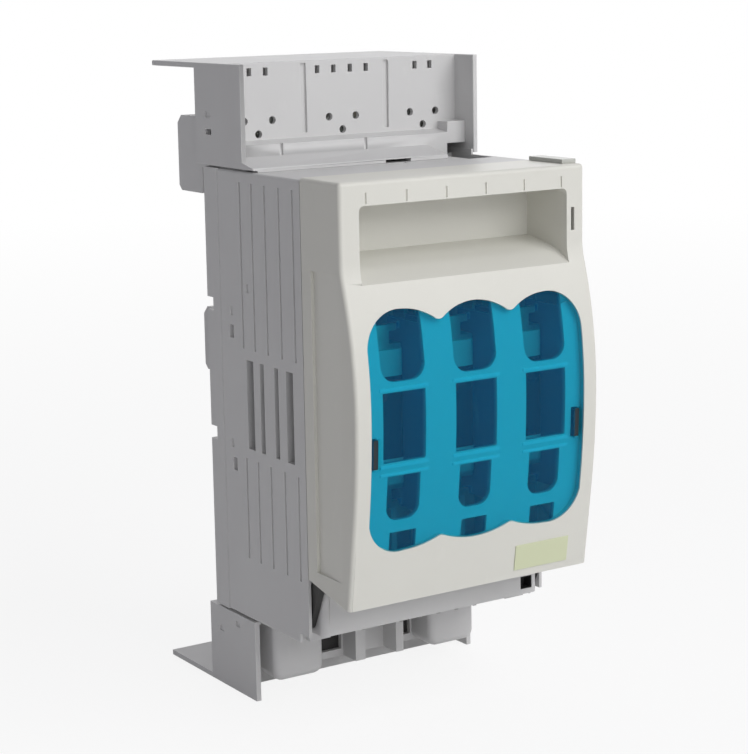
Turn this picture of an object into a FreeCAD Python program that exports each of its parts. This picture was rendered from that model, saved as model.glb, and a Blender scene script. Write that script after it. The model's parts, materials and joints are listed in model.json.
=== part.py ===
import FreeCAD, Part
import math
import os

# A three-pole fuse switch disconnector, fuse size 00, on a three-bar busbar adapter.
# Millimetres. +X runs across the poles, -Y is the front with the lid, +Z is up.
# The origin lies in the contact plane on the busbars, behind the middle of the middle bar.

V = FreeCAD.Vector
os.makedirs("parts", exist_ok=True)

# Fits and clearances
RUN_GAP = 0.3
FIT = 0.05
SCREW_FIT = 0.02
PIN_FIT = 0.01
# How far a cutter reaches past the face that it opens
OVER = 1.0

# Busbar system that the device hangs on
BAR_PITCH = 60.0
BAR_HEIGHT = 30.0
BAR_THICK = 5.0
BAR_LEVELS = (BAR_PITCH, 0.0, -BAR_PITCH)

# Whole device: its width follows the poles, its height the busbars that it spans
POLE_PITCH = 31.0
SIDE_MARGIN = 6.5
POLES = (-POLE_PITCH, 0.0, POLE_PITCH)
HALF = (3 * POLE_PITCH + 2 * SIDE_MARGIN) / 2
BASE_TOP = BAR_PITCH + 21.8
BASE_BOTTOM = -BAR_PITCH - 28.5
COVER_TOP = BASE_TOP + 38.7
COVER_BOTTOM = BASE_BOTTOM - 32.0

# Base housing
BASE_FRONT = -69.5
BASE_BACK = -10.0
BASE_WALL = 3.0
BASE_EDGE_ROUND = 1.2
SEAM_CHAMFER = 0.6
IN_TOP = BASE_TOP - BASE_WALL
IN_BOTTOM = BASE_BOTTOM + BASE_WALL

# Hinge ledge along the foot of the housing
LEDGE_FRONT = -72.5
LEDGE_HALF = HALF - 4.2
LEDGE_BOTTOM = BASE_BOTTOM + 4.0
LEDGE_TOP = LEDGE_BOTTOM + 16.0
LEDGE_FOOT = -63.0
LEDGE_BACK = -58.0
LEDGE_ROOF = LEDGE_TOP + BASE_WALL
LEDGE_CORNER = 2.8
LEDGE_SKIN = 2.5
LEDGE_RIB = 1.5
LEDGE_RIB_PITCH = 8.5
# Square pocket near the ledge's right end: its span, its heights over the ledge's bottom and its depth
LEDGE_POCKET = (LEDGE_HALF - 8.4, LEDGE_HALF - 3.0)
LEDGE_POCKET_RISE = (2.0, 7.0)
LEDGE_POCKET_DEPTH = 5.0

# Contact board and barriers between the poles
BOARD_THICK = 3.0
BOARD_FRONT = BASE_BACK - BOARD_THICK
REBATE = 1.5
BARRIER = 2.5
GROOVE = 1.0
POST_HALF = 7.0
POST_HEIGHT = 11.0

# Hinge
HINGE_Y = -64.5
HINGE_Z = LEDGE_BOTTOM + 5.5
HINGE_PIN_R = 1.75
HINGE_EYE_R = 3.8
PIN_POCKET = HALF - 13.0
PIN_TIP = HALF - 0.7
PIN_END_PLAY = 0.1
PIN_HEAD = 1.0
PIN_HEAD_PLAY = 1.5
PIN_HEAD_R = HINGE_PIN_R + 1.0
HINGE_SLOT_OUTER = HALF - 1.2
HINGE_SLOT_BACK = HINGE_Y + HINGE_EYE_R + 0.5
HINGE_SLOT_TOP = LEDGE_ROOF + 2.0
ARM_INNER = LEDGE_HALF + RUN_GAP
ARM_OUTER = HINGE_SLOT_OUTER - RUN_GAP

# Lid
LID_BACK = -70.0
LID_FRONT = -95.5
LID_TOP = BASE_TOP + 0.7
LID_WALL = 2.5
LID_EDGE_ROUND = 1.5
LID_FRONT_LOW = LEDGE_TOP + 0.3
LID_BACK_LOW = LEDGE_TOP + 6.0
SIDE_RELIEF = 1.2

# Finger recess of the lid
RECESS_HALF = HALF - 8.0
RECESS_TOP = LID_TOP - 8.5
RECESS_FLOOR = RECESS_TOP - 19.5
RECESS_DEPTH = 24.0
RECESS_WALL = 1.5
RECESS_BACK_RISE = 0.4
# Corners of its lower lip: distance behind the lid's front, drop below the floor
RECESS_LIP = ((9.5, 1.9), (4.5, 3.9), (-1.3, 7.7))
GRIP_THICK = 4.5
GRIP_UNDERCUT = 5.0

# The lid's front in the side view: bulge and height of the points that its arcs pass through
BULGE_POINTS = ((0.0, RECESS_FLOOR), (1.0, 48.0), (8.2, 0.0), (5.4, -38.0))

# Inspection window
WINDOW_HALF = HALF - 6.7
WINDOW_CREST = 37.5
WINDOW_VALLEY = 31.7
WINDOW_SHOULDER = 25.0
WINDOW_LOW_CREST = -48.1
WINDOW_LOW_VALLEY = -44.8
WINDOW_LOW_SHOULDER = -37.5
WINDOW_INSET = 0.2
WINDOW_THICK = 2.0
WINDOW_GAP = 0.35
VALLEY_ROUND = 3.0
LATCH_X = WINDOW_HALF - 2.1
LATCH_WIDTH = 3.0
LATCH_TOP = -6.3
LATCH_LOW = -17.5
LATCH_SET_BACK = 1.2
LATCH_DEPTH = 4.5

# Fuse-link, size 000 body with size 00 blades
FUSE_WIDTH = 21.0
FUSE_FRONT = -86.0
FUSE_DEPTH = 36.0
FUSE_LENGTH = 53.0
FUSE_CENTRE_Z = -3.5
END_PLATE = 2.0
LUG_SET_BACK = 1.0
LUG_THICK = 2.5
LUG_RISE = 7.0
LUG_STEM_HALF = 4.5
LUG_CROSS_HALF = 7.5
BLADE_THICK = 6.0
BLADE_DEPTH = 15.0
BLADE_LENGTH = 12.75
BLADE_BACK = -51.0
BLADE_CHAMFER = 2.0
FUSE_TOP = FUSE_CENTRE_Z + FUSE_LENGTH / 2
FUSE_LOW = FUSE_CENTRE_Z - FUSE_LENGTH / 2

# Fuse carrier behind the window
CARRIER_SET_BACK = 2.8
CARRIER_THICK = 2.0
CARRIER_HALF = HALF - 4.5
CARRIER_TOP = WINDOW_CREST + 4.5
CARRIER_LOW = WINDOW_LOW_CREST - 4.4
GUIDE_WALL = 1.5
GUIDE_BACK = -74.0
GUIDE_REACH = 8.0
LIP_WIDTH = 5.3
LIP_THICK = 1.5
LIP_LOW = 4.6

# Current path
COPPER = 3.0
RAIL_WIDTH = 20.0
RAIL_HALF = RAIL_WIDTH / 2
RAIL_BACK = -39.0
RAIL_FRONT = RAIL_BACK - COPPER
JAW_LEAF = 1.8
JAW_FRONT = -65.0
JAW_TIP = 3.0
JAW_FLARE = 2.0
JAW_NEAR = 2.0
JAW_FAR = BLADE_LENGTH - 0.25
FLAG_HOLE_R = 4.25
FLAG_MARGIN = 10.5
FLAG_CLEAR = 1.0
UPPER_BOLT_Z = BASE_TOP + 14.2
LOWER_HOLE_Z = BASE_BOTTOM - 11.5
UPPER_FLAG_FRONT = BASE_BACK + FLAG_CLEAR
UPPER_FLAG_BACK = UPPER_FLAG_FRONT + COPPER
UPPER_FLAG_TOP = UPPER_BOLT_Z + FLAG_MARGIN
LOWER_FLAG_BACK = BOARD_FRONT
LOWER_FLAG_FRONT = LOWER_FLAG_BACK - COPPER
LOWER_FLAG_END = LOWER_HOLE_Z - FLAG_MARGIN
FEEDER_BACK = UPPER_FLAG_BACK + COPPER
PAD_HALF = 10.0
PAD_TOE = 2.0

# Screws and bolts
CONTACT_SCREW_R = 2.0
CONTACT_HEAD_R = 3.5
CONTACT_HEAD = 2.4
CONTACT_SCREW_DEPTH = 10.0
HOUSING_SCREW_R = 1.75
HOUSING_HEAD_R = 3.0
HOUSING_HEAD = 2.4
HOUSING_SCREW_DEPTH = 7.0
BOLT_R = 4.0
BOLT_HEAD = 5.0
BOLT_FLATS = 13.0
BOLT_SPARE = 8.0
WASHER = 1.0
WASHER_R = 8.0
NUT_HEIGHT = 6.5
SPRING_BAND = 0.8
SPRING_BACK = -44.0
SPRING_FRONT = -49.0

# Busbar clamps and their screws
CLAMP_HALF = 8.0
CLAMP_HEIGHT = 6.8
CLAMP_LIP = 4.0
CLAMP_LIP_RISE = 5.0
CLAMP_LIP_CHAMFER = 1.0
CLAMP_FRONT = -9.7
CLAMP_SCREW_R = 2.5
CLAMP_HEAD_R = 4.5
CLAMP_HEAD = 4.0
SOCKET_FLATS = 4.0
SOCKET_DEPTH = 2.2

# Posts that carry the rails, clear of the clamp screw of the top bar
UPPER_POST_LOW = BAR_PITCH - BAR_HEIGHT / 2 - RUN_GAP - CLAMP_HEIGHT / 2 + CLAMP_HEAD_R + 2.2
UPPER_POST = (UPPER_POST_LOW, UPPER_POST_LOW + POST_HEIGHT)
LOWER_POST = (-UPPER_POST[1], -UPPER_POST[0])
UPPER_JOG_Z = UPPER_POST[1] + 4.0
LOWER_JOG_Z = LOWER_POST[0] - 4.0

# Screwed ears at the housing's four inner corners
EAR_INNER = POLE_PITCH + RAIL_HALF + 1.0
EAR_HALF = 4.0
EAR_THICK = 3.0
SCREW_X = (EAR_INNER + HALF - BASE_WALL) / 2
SCREW_LEVELS = (BASE_TOP - 11.5, BASE_BOTTOM + 14.5)
SCREW_PLACES = [(x, z) for x in (-SCREW_X, SCREW_X) for z in SCREW_LEVELS]

# Busbar adapter
ADAPTER_SKIN = 2.7
HOOK_INNER = POLE_PITCH + RAIL_HALF + 1.0
HOOK_OUTER = HALF - 2.5
HOOK_BACK = 24.5
HOOK_CORNER = 3.0
HOOK_LIP_LOW = BAR_PITCH + BAR_HEIGHT / 2 - 4.0
THROAT_TOP = BAR_PITCH + BAR_HEIGHT / 2 + 6.0
HOOK_TOP = THROAT_TOP + 19.0
MID_HOOK_OUTER = 44.0
MID_HOOK_WIDTH = 11.0
MID_HOOK_TOP = BAR_HEIGHT / 2 + 10.5
MID_HOOK_LOW = BAR_HEIGHT / 2 - 14.5
MID_HOOK_BACK = 20.0
NOTCH_DEPTH = 4.5
NOTCHES = ((32.5, 27.5), (-17.5, -22.5))

# Terminal covers
COVER_WALL = 2.0
SEAM_GAP = 0.8
CHEEK_FRONT = -29.5
CHEEK_BACK = 5.5
PLATE_BACK = 39.3
PANEL_FRONT = -17.0
PANEL_PITCH = 37.0
FIELD_SHIFT = -1.4
SLOPE_TOP = COVER_TOP - 28.7
SLOPE_LOW = SLOPE_TOP - 1.2
SKIRT_FRONT = -23.8
SKIRT_RIGHT = HALF - 10.4
PAD_TOP = SLOPE_TOP + 3.0
SHELF_BACK_Z = BASE_TOP + 4.5
SHELF_FRONT_Z = BASE_TOP + 1.6
SHELF_FRONT = -37.5
SHELF_SKIN = 1.6
SHELF_RIGHT = HALF - 20.0
COMB_LOW = BASE_BOTTOM - 25.0
COMB_FRONT = -33.5
COMB_CORNER = 3.0
COMB_LOW_CORNER = 4.0
LOW_PANEL_FRONT = -20.0
LOW_CHEEK_RIGHT = LOW_PANEL_FRONT - 1.5
LOW_PLATE_FRONT = -11.5
BLOCK_SPAN = (24.8, 46.5)
LOW_RIBS = ((-8.0, -3.5), (11.0, 14.5))
SCREEN_THICK = 1.5
SCREEN_LOW = COVER_BOTTOM + 9.0
CABLE_R = 9.0
CABLE_CORNER = 6.0
CABLE_FRONT = LOW_PLATE_FRONT + 8.0
CABLE_BACK = PLATE_BACK - 12.0


def box(x0, x1, y0, y1, z0, z1):
    """A block between two corners."""
    return Part.makeBox(x1 - x0, y1 - y0, z1 - z0, V(x0, y0, z0))


def side_prism(points, x0, x1):
    """A profile drawn in the side view, as (y, z), pulled across from x0 to x1."""
    wire = Part.makePolygon([V(x0, y, z) for y, z in points + points[:1]])
    return Part.Face(wire).extrude(V(x1 - x0, 0, 0))


def front_prism(points, y0, y1):
    """A profile drawn in the front view, as (x, z), pulled back from y0 to y1."""
    wire = Part.makePolygon([V(x, y0, z) for x, z in points + points[:1]])
    return Part.Face(wire).extrude(V(0, y1 - y0, 0))


def plan_prism(points, z0, z1):
    """A profile drawn in the top view, as (x, y), pulled up from z0 to z1."""
    wire = Part.makePolygon([V(x, y, z0) for x, y in points + points[:1]])
    return Part.Face(wire).extrude(V(0, 0, z1 - z0))


def rod_x(x0, x1, y, z, radius):
    return Part.makeCylinder(radius, x1 - x0, V(x0, y, z), V(1, 0, 0))


def rod_y(y0, y1, x, z, radius):
    return Part.makeCylinder(radius, y1 - y0, V(x, y0, z), V(0, 1, 0))


def hexagon_y(y0, y1, x, z, across_flats):
    """A hexagonal head, nut or socket whose axis runs front to back."""
    reach = across_flats / 2 / math.cos(math.radians(30))
    corners = [math.radians(60 * k) for k in range(6)]
    return front_prism([(x + reach * math.cos(a), z + reach * math.sin(a)) for a in corners], y0, y1)


def along(edge, axis):
    """True for a straight edge that runs along the named axis."""
    run = edge.Vertexes[-1].Point - edge.Vertexes[0].Point
    size = {"x": abs(run.x), "y": abs(run.y), "z": abs(run.z)}
    return size[axis] > 0.99 * run.Length and run.Length > 0.01


def round_edges(solid, radius, wanted):
    """Round every edge that the test picks out by its middle point."""
    return solid.makeFillet(radius, [e for e in solid.Edges if wanted(e.CenterOfMass, e)])


def bevel_edges(solid, size, wanted):
    """Chamfer every edge that the test picks out by its middle point."""
    return solid.makeChamfer(size, [e for e in solid.Edges if wanted(e.CenterOfMass, e)])


def fuse(solids):
    """Join the solids of one moulding."""
    return solids[0].multiFuse(solids[1:]).removeSplitter()


def both_sides(solid):
    """A solid on the right and its mirror image on the left."""
    return [solid, solid.mirror(V(0, 0, 0), V(1, 0, 0))]


def save(name, solids):
    """Write one node. A list is a group of separate solids."""
    shape = Part.makeCompound(solids) if isinstance(solids, list) else solids
    count = len(shape.Solids)
    if not shape.isValid() or count == 0:
        print("CHECK", name, "valid", shape.isValid(), "solids", count)
    shape.exportStep("parts/" + name + ".step")
    print(name, count, round(shape.Volume, 1))


# Base housing

VENT_ROWS = ((-31.3, 5.0), (-39.9, 3.0), (-50.3, 3.0), (-59.7, 5.0))
VENT_TOP = 12.0
VENT_LOW = -21.7
PLEAT_ROWS = (-64.5, -55.0, -45.0, -35.6, -27.0)
PLEAT_DEPTH = 0.6
PLEAT_WIDTH = 1.2
PLEAT_MARGIN = 4.0
LATCH_HOLES = ((-18.4, 21.4), (-18.3, -29.5))
LATCH_HOLE_HALF = (1.5, 2.5)
DENTS = ((-31.0, 38.9), (-18.8, 29.1), (-17.0, -21.7))
DENT_HALF = (1.0, 1.6)
DENT_DEPTH = 0.5
TOP_HOLE = (HALF - 14.5, HALF - BASE_WALL)
TOP_HOLE_FRONT = -44.0
TOP_HOLE_BACK = BOARD_FRONT - 3.0
TOP_SLIT = (3.8, 12.4)
TOP_SLIT_BACK = SHELF_FRONT - 0.9
TOP_SLIT_FRONT = TOP_SLIT_BACK - 2.6


def wall_window(y, z, half, depth):
    """A cutter for an upright opening in the right side wall, this deep from outside."""
    half_y, half_z = half
    return box(HALF - depth, HALF + OVER, y - half_y, y + half_y, z - half_z, z + half_z)


def side_cuts():
    """Vents, pleats, latch holes and dents of the right side wall."""
    middle, half_z = (VENT_TOP + VENT_LOW) / 2, (VENT_TOP - VENT_LOW) / 2
    cuts = [wall_window(y, middle, (width / 2, half_z), BASE_WALL + OVER) for y, width in VENT_ROWS]
    bands = ((VENT_TOP + PLEAT_MARGIN, BASE_TOP - PLEAT_MARGIN),
             (LEDGE_TOP + PLEAT_MARGIN, VENT_LOW - PLEAT_MARGIN))
    for low, high in bands:
        half = (PLEAT_WIDTH / 2, (high - low) / 2)
        cuts += [wall_window(y, (low + high) / 2, half, PLEAT_DEPTH) for y in PLEAT_ROWS]
    cuts += [wall_window(y, z, LATCH_HOLE_HALF, BASE_WALL / 2) for y, z in LATCH_HOLES]
    cuts += [wall_window(y, z, DENT_HALF, DENT_DEPTH) for y, z in DENTS]
    return Part.makeCompound(cuts)


def hinge_cuts():
    """The slot for a hinge arm and the bore for its pin, on the right."""
    slot = box(LEDGE_HALF, HINGE_SLOT_OUTER, LEDGE_FRONT - OVER, HINGE_SLOT_BACK, BASE_BOTTOM - OVER,
               HINGE_SLOT_TOP)
    return slot.fuse(rod_x(PIN_POCKET, PIN_TIP + PIN_END_PLAY, HINGE_Y, HINGE_Z, HINGE_PIN_R + PIN_FIT))


def ledge_hollow():
    """The hollow under the ledge, open below: narrow pockets between ribs, wider ones at the pins."""
    hollow = box(-PIN_POCKET, PIN_POCKET, LEDGE_FRONT + LEDGE_SKIN, LEDGE_BACK - LEDGE_SKIN,
                 BASE_BOTTOM - OVER, LEDGE_TOP - LEDGE_SKIN)
    ribs = [box(k * LEDGE_RIB_PITCH - LEDGE_RIB / 2, k * LEDGE_RIB_PITCH + LEDGE_RIB / 2,
                LEDGE_FRONT, LEDGE_BACK, BASE_BOTTOM - OVER, LEDGE_TOP) for k in range(-3, 4)]
    return hollow.cut(ribs)


def pole_barriers():
    """Two upright plates between the poles, held in grooves of the housing."""
    outline = [(BASE_FRONT, IN_TOP + GROOVE), (BOARD_FRONT, IN_TOP + GROOVE),
               (BOARD_FRONT, IN_BOTTOM - GROOVE), (LEDGE_BACK - GROOVE, IN_BOTTOM - GROOVE),
               (LEDGE_BACK - GROOVE, LEDGE_ROOF - GROOVE), (BASE_FRONT, LEDGE_ROOF - GROOVE)]
    middle = POLE_PITCH / 2
    return both_sides(side_prism(outline, middle - BARRIER / 2, middle + BARRIER / 2))


def base_housing():
    """Outer walls with the hinge ledge, vents, grooves for the barriers and a rebate at the rear."""
    outline = [(BASE_FRONT, BASE_TOP), (BASE_BACK, BASE_TOP), (BASE_BACK, BASE_BOTTOM),
               (LEDGE_FOOT, BASE_BOTTOM), (LEDGE_FOOT, LEDGE_BOTTOM), (LEDGE_FRONT, LEDGE_BOTTOM),
               (LEDGE_FRONT, LEDGE_TOP), (BASE_FRONT, LEDGE_TOP)]
    ledge_end = box(LEDGE_HALF, HALF + OVER, LEDGE_FRONT - OVER, BASE_FRONT,
                    LEDGE_BOTTOM - OVER, LEDGE_TOP + OVER)
    shell = side_prism(outline, -HALF, HALF).cut(both_sides(ledge_end))
    shell = round_edges(shell, LEDGE_CORNER, lambda c, e: along(e, "z") and c.y < LEDGE_FRONT + 0.1)
    shell = round_edges(shell, BASE_EDGE_ROUND, lambda c, e: (
        along(e, "y") and (c.z > BASE_TOP - 0.1 or c.z < BASE_BOTTOM + 0.1)))
    shell = bevel_edges(shell, SEAM_CHAMFER, lambda c, e: along(e, "z") and c.y > BASE_BACK - 0.1)
    compartment = [(BASE_FRONT - OVER, IN_TOP), (BOARD_FRONT, IN_TOP), (BOARD_FRONT, IN_BOTTOM),
                   (LEDGE_BACK, IN_BOTTOM), (LEDGE_BACK, LEDGE_ROOF), (BASE_FRONT - OVER, LEDGE_ROOF)]
    rebate = box(-HALF + REBATE, HALF - REBATE, BOARD_FRONT, BASE_BACK + OVER,
                 BASE_BOTTOM + REBATE, BASE_TOP - REBATE)
    hollow = side_prism(compartment, -HALF + BASE_WALL, HALF - BASE_WALL)
    shell = shell.cut([hollow, rebate] + pole_barriers())
    ears = []
    for z in SCREW_LEVELS:
        ears += both_sides(box(EAR_INNER, HALF - BASE_WALL, BOARD_FRONT - EAR_THICK, BOARD_FRONT,
                               z - EAR_HALF, z + EAR_HALF))
    shell = fuse([shell] + ears)
    flag_half = RAIL_HALF + RUN_GAP
    cuts = [box(x - flag_half, x + flag_half, LOWER_FLAG_FRONT - RUN_GAP, LOWER_FLAG_BACK,
                BASE_BOTTOM - OVER, IN_BOTTOM + OVER) for x in POLES]
    cuts += [rod_y(BOARD_FRONT - EAR_THICK - OVER, BOARD_FRONT + OVER, x, z, HOUSING_SCREW_R + FIT)
             for x, z in SCREW_PLACES]
    cuts.append(ledge_hollow())
    cuts.append(box(TOP_HOLE[0], TOP_HOLE[1], TOP_HOLE_FRONT, TOP_HOLE_BACK, IN_TOP - OVER, BASE_TOP + OVER))
    cuts.append(box(TOP_SLIT[0], TOP_SLIT[1], TOP_SLIT_FRONT, TOP_SLIT_BACK, IN_TOP - OVER, BASE_TOP + OVER))
    cuts.append(box(LEDGE_POCKET[0], LEDGE_POCKET[1], LEDGE_FRONT - OVER, LEDGE_FRONT + LEDGE_POCKET_DEPTH,
                    LEDGE_BOTTOM + LEDGE_POCKET_RISE[0], LEDGE_BOTTOM + LEDGE_POCKET_RISE[1]))
    cuts += both_sides(side_cuts()) + both_sides(hinge_cuts())
    return shell.cut(cuts)


def contact_board():
    """Rear board in the housing's rebate, with the posts that carry the rails."""
    solids = [box(-HALF + REBATE, HALF - REBATE, BOARD_FRONT, BASE_BACK,
                  BASE_BOTTOM + REBATE, BASE_TOP - REBATE)]
    slots = []
    half = RAIL_HALF + RUN_GAP
    for x in POLES:
        slots.append(box(x - half, x + half, BOARD_FRONT - OVER, BASE_BACK + OVER,
                         UPPER_JOG_Z - RUN_GAP, UPPER_JOG_Z + COPPER + RUN_GAP))
        for low, high in (UPPER_POST, LOWER_POST):
            solids.append(box(x - POST_HALF, x + POST_HALF, RAIL_BACK, BOARD_FRONT, low, high))
            slots.append(rod_y(RAIL_BACK - OVER, RAIL_BACK + CONTACT_SCREW_DEPTH + 2.0, x, (low + high) / 2,
                               CONTACT_SCREW_R + SCREW_FIT))
    holes = [(x, clamp_axis(level), CLAMP_SCREW_R) for x, level in zip(POLES, BAR_LEVELS)]
    holes += [(x, z, HOUSING_SCREW_R) for x, z in SCREW_PLACES]
    slots += [rod_y(BOARD_FRONT - OVER, BASE_BACK + OVER, x, z, radius + FIT) for x, z, radius in holes]
    return fuse(solids).cut(slots)


# Current path

def clamp_axis(level):
    """Height of the clamp screw under a busbar's lower edge."""
    return level - BAR_HEIGHT / 2 - RUN_GAP - CLAMP_HEIGHT / 2


def jaw(x, low, high):
    """Two spring leaves that grip a blade, open to the front with flared tips."""
    leaves = []
    for side in (-1, 1):
        inner = x + side * (BLADE_THICK / 2 + FIT)
        outer = inner + side * JAW_LEAF
        flare = side * JAW_FLARE
        straight = JAW_FRONT + JAW_TIP
        outline = [(inner, RAIL_FRONT), (inner, straight), (inner + flare, JAW_FRONT),
                   (outer + flare, JAW_FRONT), (outer, straight), (outer, RAIL_FRONT)]
        leaves.append(plan_prism(outline, low, high))
    return leaves


def upper_contact(x, level):
    """Upper rail: jaw, upright, step back through the board and terminal flag."""
    low = FUSE_TOP - JAW_TIP
    high = UPPER_JOG_Z + COPPER
    profile = [(RAIL_BACK, low), (RAIL_FRONT, low), (RAIL_FRONT, high), (UPPER_FLAG_FRONT, high),
               (UPPER_FLAG_FRONT, UPPER_FLAG_TOP), (UPPER_FLAG_BACK, UPPER_FLAG_TOP),
               (UPPER_FLAG_BACK, UPPER_JOG_Z), (RAIL_BACK, UPPER_JOG_Z)]
    rail = side_prism(profile, x - RAIL_HALF, x + RAIL_HALF)
    rail = fuse([rail] + jaw(x, FUSE_TOP + JAW_NEAR, FUSE_TOP + JAW_FAR))
    holes = [rod_y(UPPER_FLAG_FRONT - OVER, UPPER_FLAG_BACK + OVER, x, UPPER_BOLT_Z, FLAG_HOLE_R),
             rod_y(RAIL_FRONT - OVER, RAIL_BACK + OVER, x, sum(UPPER_POST) / 2, CONTACT_SCREW_R + FIT)]
    if level > 0:
        holes.append(rod_y(RAIL_FRONT - OVER, RAIL_BACK + OVER, x, clamp_axis(level), CLAMP_HEAD_R + RUN_GAP))
    return rail.cut(holes)


def lower_contact(x, level):
    """Lower rail: jaw, upright, step back and cable terminal flag."""
    high = FUSE_LOW + JAW_TIP
    low = LOWER_JOG_Z - COPPER
    profile = [(RAIL_BACK, high), (RAIL_FRONT, high), (RAIL_FRONT, low), (LOWER_FLAG_FRONT, low),
               (LOWER_FLAG_FRONT, LOWER_FLAG_END), (LOWER_FLAG_BACK, LOWER_FLAG_END),
               (LOWER_FLAG_BACK, LOWER_JOG_Z), (RAIL_BACK, LOWER_JOG_Z)]
    rail = side_prism(profile, x - RAIL_HALF, x + RAIL_HALF)
    rail = fuse([rail] + jaw(x, FUSE_LOW - JAW_FAR, FUSE_LOW - JAW_NEAR))
    holes = [rod_y(LOWER_FLAG_FRONT - OVER, LOWER_FLAG_BACK + OVER, x, LOWER_HOLE_Z, FLAG_HOLE_R),
             rod_y(RAIL_FRONT - OVER, RAIL_BACK + OVER, x, sum(LOWER_POST) / 2, CONTACT_SCREW_R + FIT)]
    if level < 0:
        holes.append(rod_y(LOWER_FLAG_FRONT - OVER, LOWER_FLAG_BACK + OVER, x, clamp_axis(level),
                           CLAMP_HEAD_R + RUN_GAP))
    return rail.cut(holes)


def jaw_springs():
    """A steel band round each jaw, which presses its two leaves together."""
    half = BLADE_THICK / 2 + FIT + JAW_LEAF
    bands = []
    for x in POLES:
        for low, high in ((FUSE_TOP + JAW_NEAR, FUSE_TOP + JAW_FAR),
                          (FUSE_LOW - JAW_FAR, FUSE_LOW - JAW_NEAR)):
            outer = box(x - half - SPRING_BAND, x + half + SPRING_BAND, SPRING_FRONT, SPRING_BACK,
                        low - SPRING_BAND, high + SPRING_BAND)
            inner = box(x - half, x + half, SPRING_FRONT - OVER, SPRING_BACK + OVER, low, high)
            bands.append(outer.cut(inner))
    return bands


def pan_screw(x, z, seat, head_radius, head, radius, depth):
    """A pan-head screw: its head stands in front of the seat, its shank runs back into the hole."""
    shank = rod_y(seat, seat + depth, x, z, radius)
    return rod_y(seat - head, seat, x, z, head_radius).fuse(shank).removeSplitter()


def contact_screws():
    """Screws that hold each rail on its post."""
    return [pan_screw(x, sum(post) / 2, RAIL_FRONT, CONTACT_HEAD_R, CONTACT_HEAD, CONTACT_SCREW_R,
                      COPPER + CONTACT_SCREW_DEPTH) for x in POLES for post in (UPPER_POST, LOWER_POST)]


def housing_screws():
    """Screws that clamp the housing's ears and the contact board to the adapter."""
    return [pan_screw(x, z, BOARD_FRONT - EAR_THICK, HOUSING_HEAD_R, HOUSING_HEAD, HOUSING_SCREW_R,
                      EAR_THICK + BOARD_THICK + HOUSING_SCREW_DEPTH) for x, z in SCREW_PLACES]


def feeder_bar(x, level):
    """Copper lead from the upper terminal down to a contact pad on its busbar."""
    profile = [(UPPER_FLAG_BACK, UPPER_FLAG_TOP), (FEEDER_BACK, UPPER_FLAG_TOP),
               (FEEDER_BACK, level + PAD_HALF), (0.0, level + PAD_HALF), (0.0, level - PAD_HALF),
               (FEEDER_BACK, level - PAD_HALF), (FEEDER_BACK, level - PAD_HALF - PAD_TOE),
               (UPPER_FLAG_BACK, level - PAD_HALF - PAD_TOE)]
    bar = side_prism(profile, x - RAIL_HALF, x + RAIL_HALF)
    return bar.cut(rod_y(UPPER_FLAG_BACK - OVER, FEEDER_BACK + OVER, x, UPPER_BOLT_Z, FLAG_HOLE_R))


def terminal_bolts():
    bolts = []
    for x in POLES:
        head = hexagon_y(UPPER_FLAG_FRONT - BOLT_HEAD, UPPER_FLAG_FRONT, x, UPPER_BOLT_Z, BOLT_FLATS)
        shank = rod_y(UPPER_FLAG_FRONT, FEEDER_BACK + WASHER + BOLT_SPARE, x, UPPER_BOLT_Z, BOLT_R)
        bolts.append(head.fuse(shank).removeSplitter())
    return bolts


def terminal_washers():
    return [rod_y(FEEDER_BACK, FEEDER_BACK + WASHER, x, UPPER_BOLT_Z, WASHER_R).cut(
        rod_y(FEEDER_BACK - OVER, FEEDER_BACK + WASHER + OVER, x, UPPER_BOLT_Z, FLAG_HOLE_R)) for x in POLES]


def terminal_nuts():
    front = FEEDER_BACK + WASHER
    return [hexagon_y(front, front + NUT_HEIGHT, x, UPPER_BOLT_Z, BOLT_FLATS).cut(
        rod_y(front - OVER, front + NUT_HEIGHT + OVER, x, UPPER_BOLT_Z, BOLT_R + SCREW_FIT)) for x in POLES]


# Busbar adapter and its clamps

def hook(inner, outer, top, low, back, throat_top):
    """A hook that reaches over a busbar's upper edge, with a lead-in behind the bar, on the right."""
    throat = BAR_THICK + RUN_GAP
    profile = [(-OVER, top), (back - HOOK_CORNER, top), (back, top - HOOK_CORNER), (back, low + 2.0),
               (back - 2.0, low), (throat + 1.0, low), (throat, low + HOOK_CORNER), (throat, throat_top),
               (0.0, throat_top), (-OVER, throat_top - 6.0)]
    return side_prism(profile, inner, outer)


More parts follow.
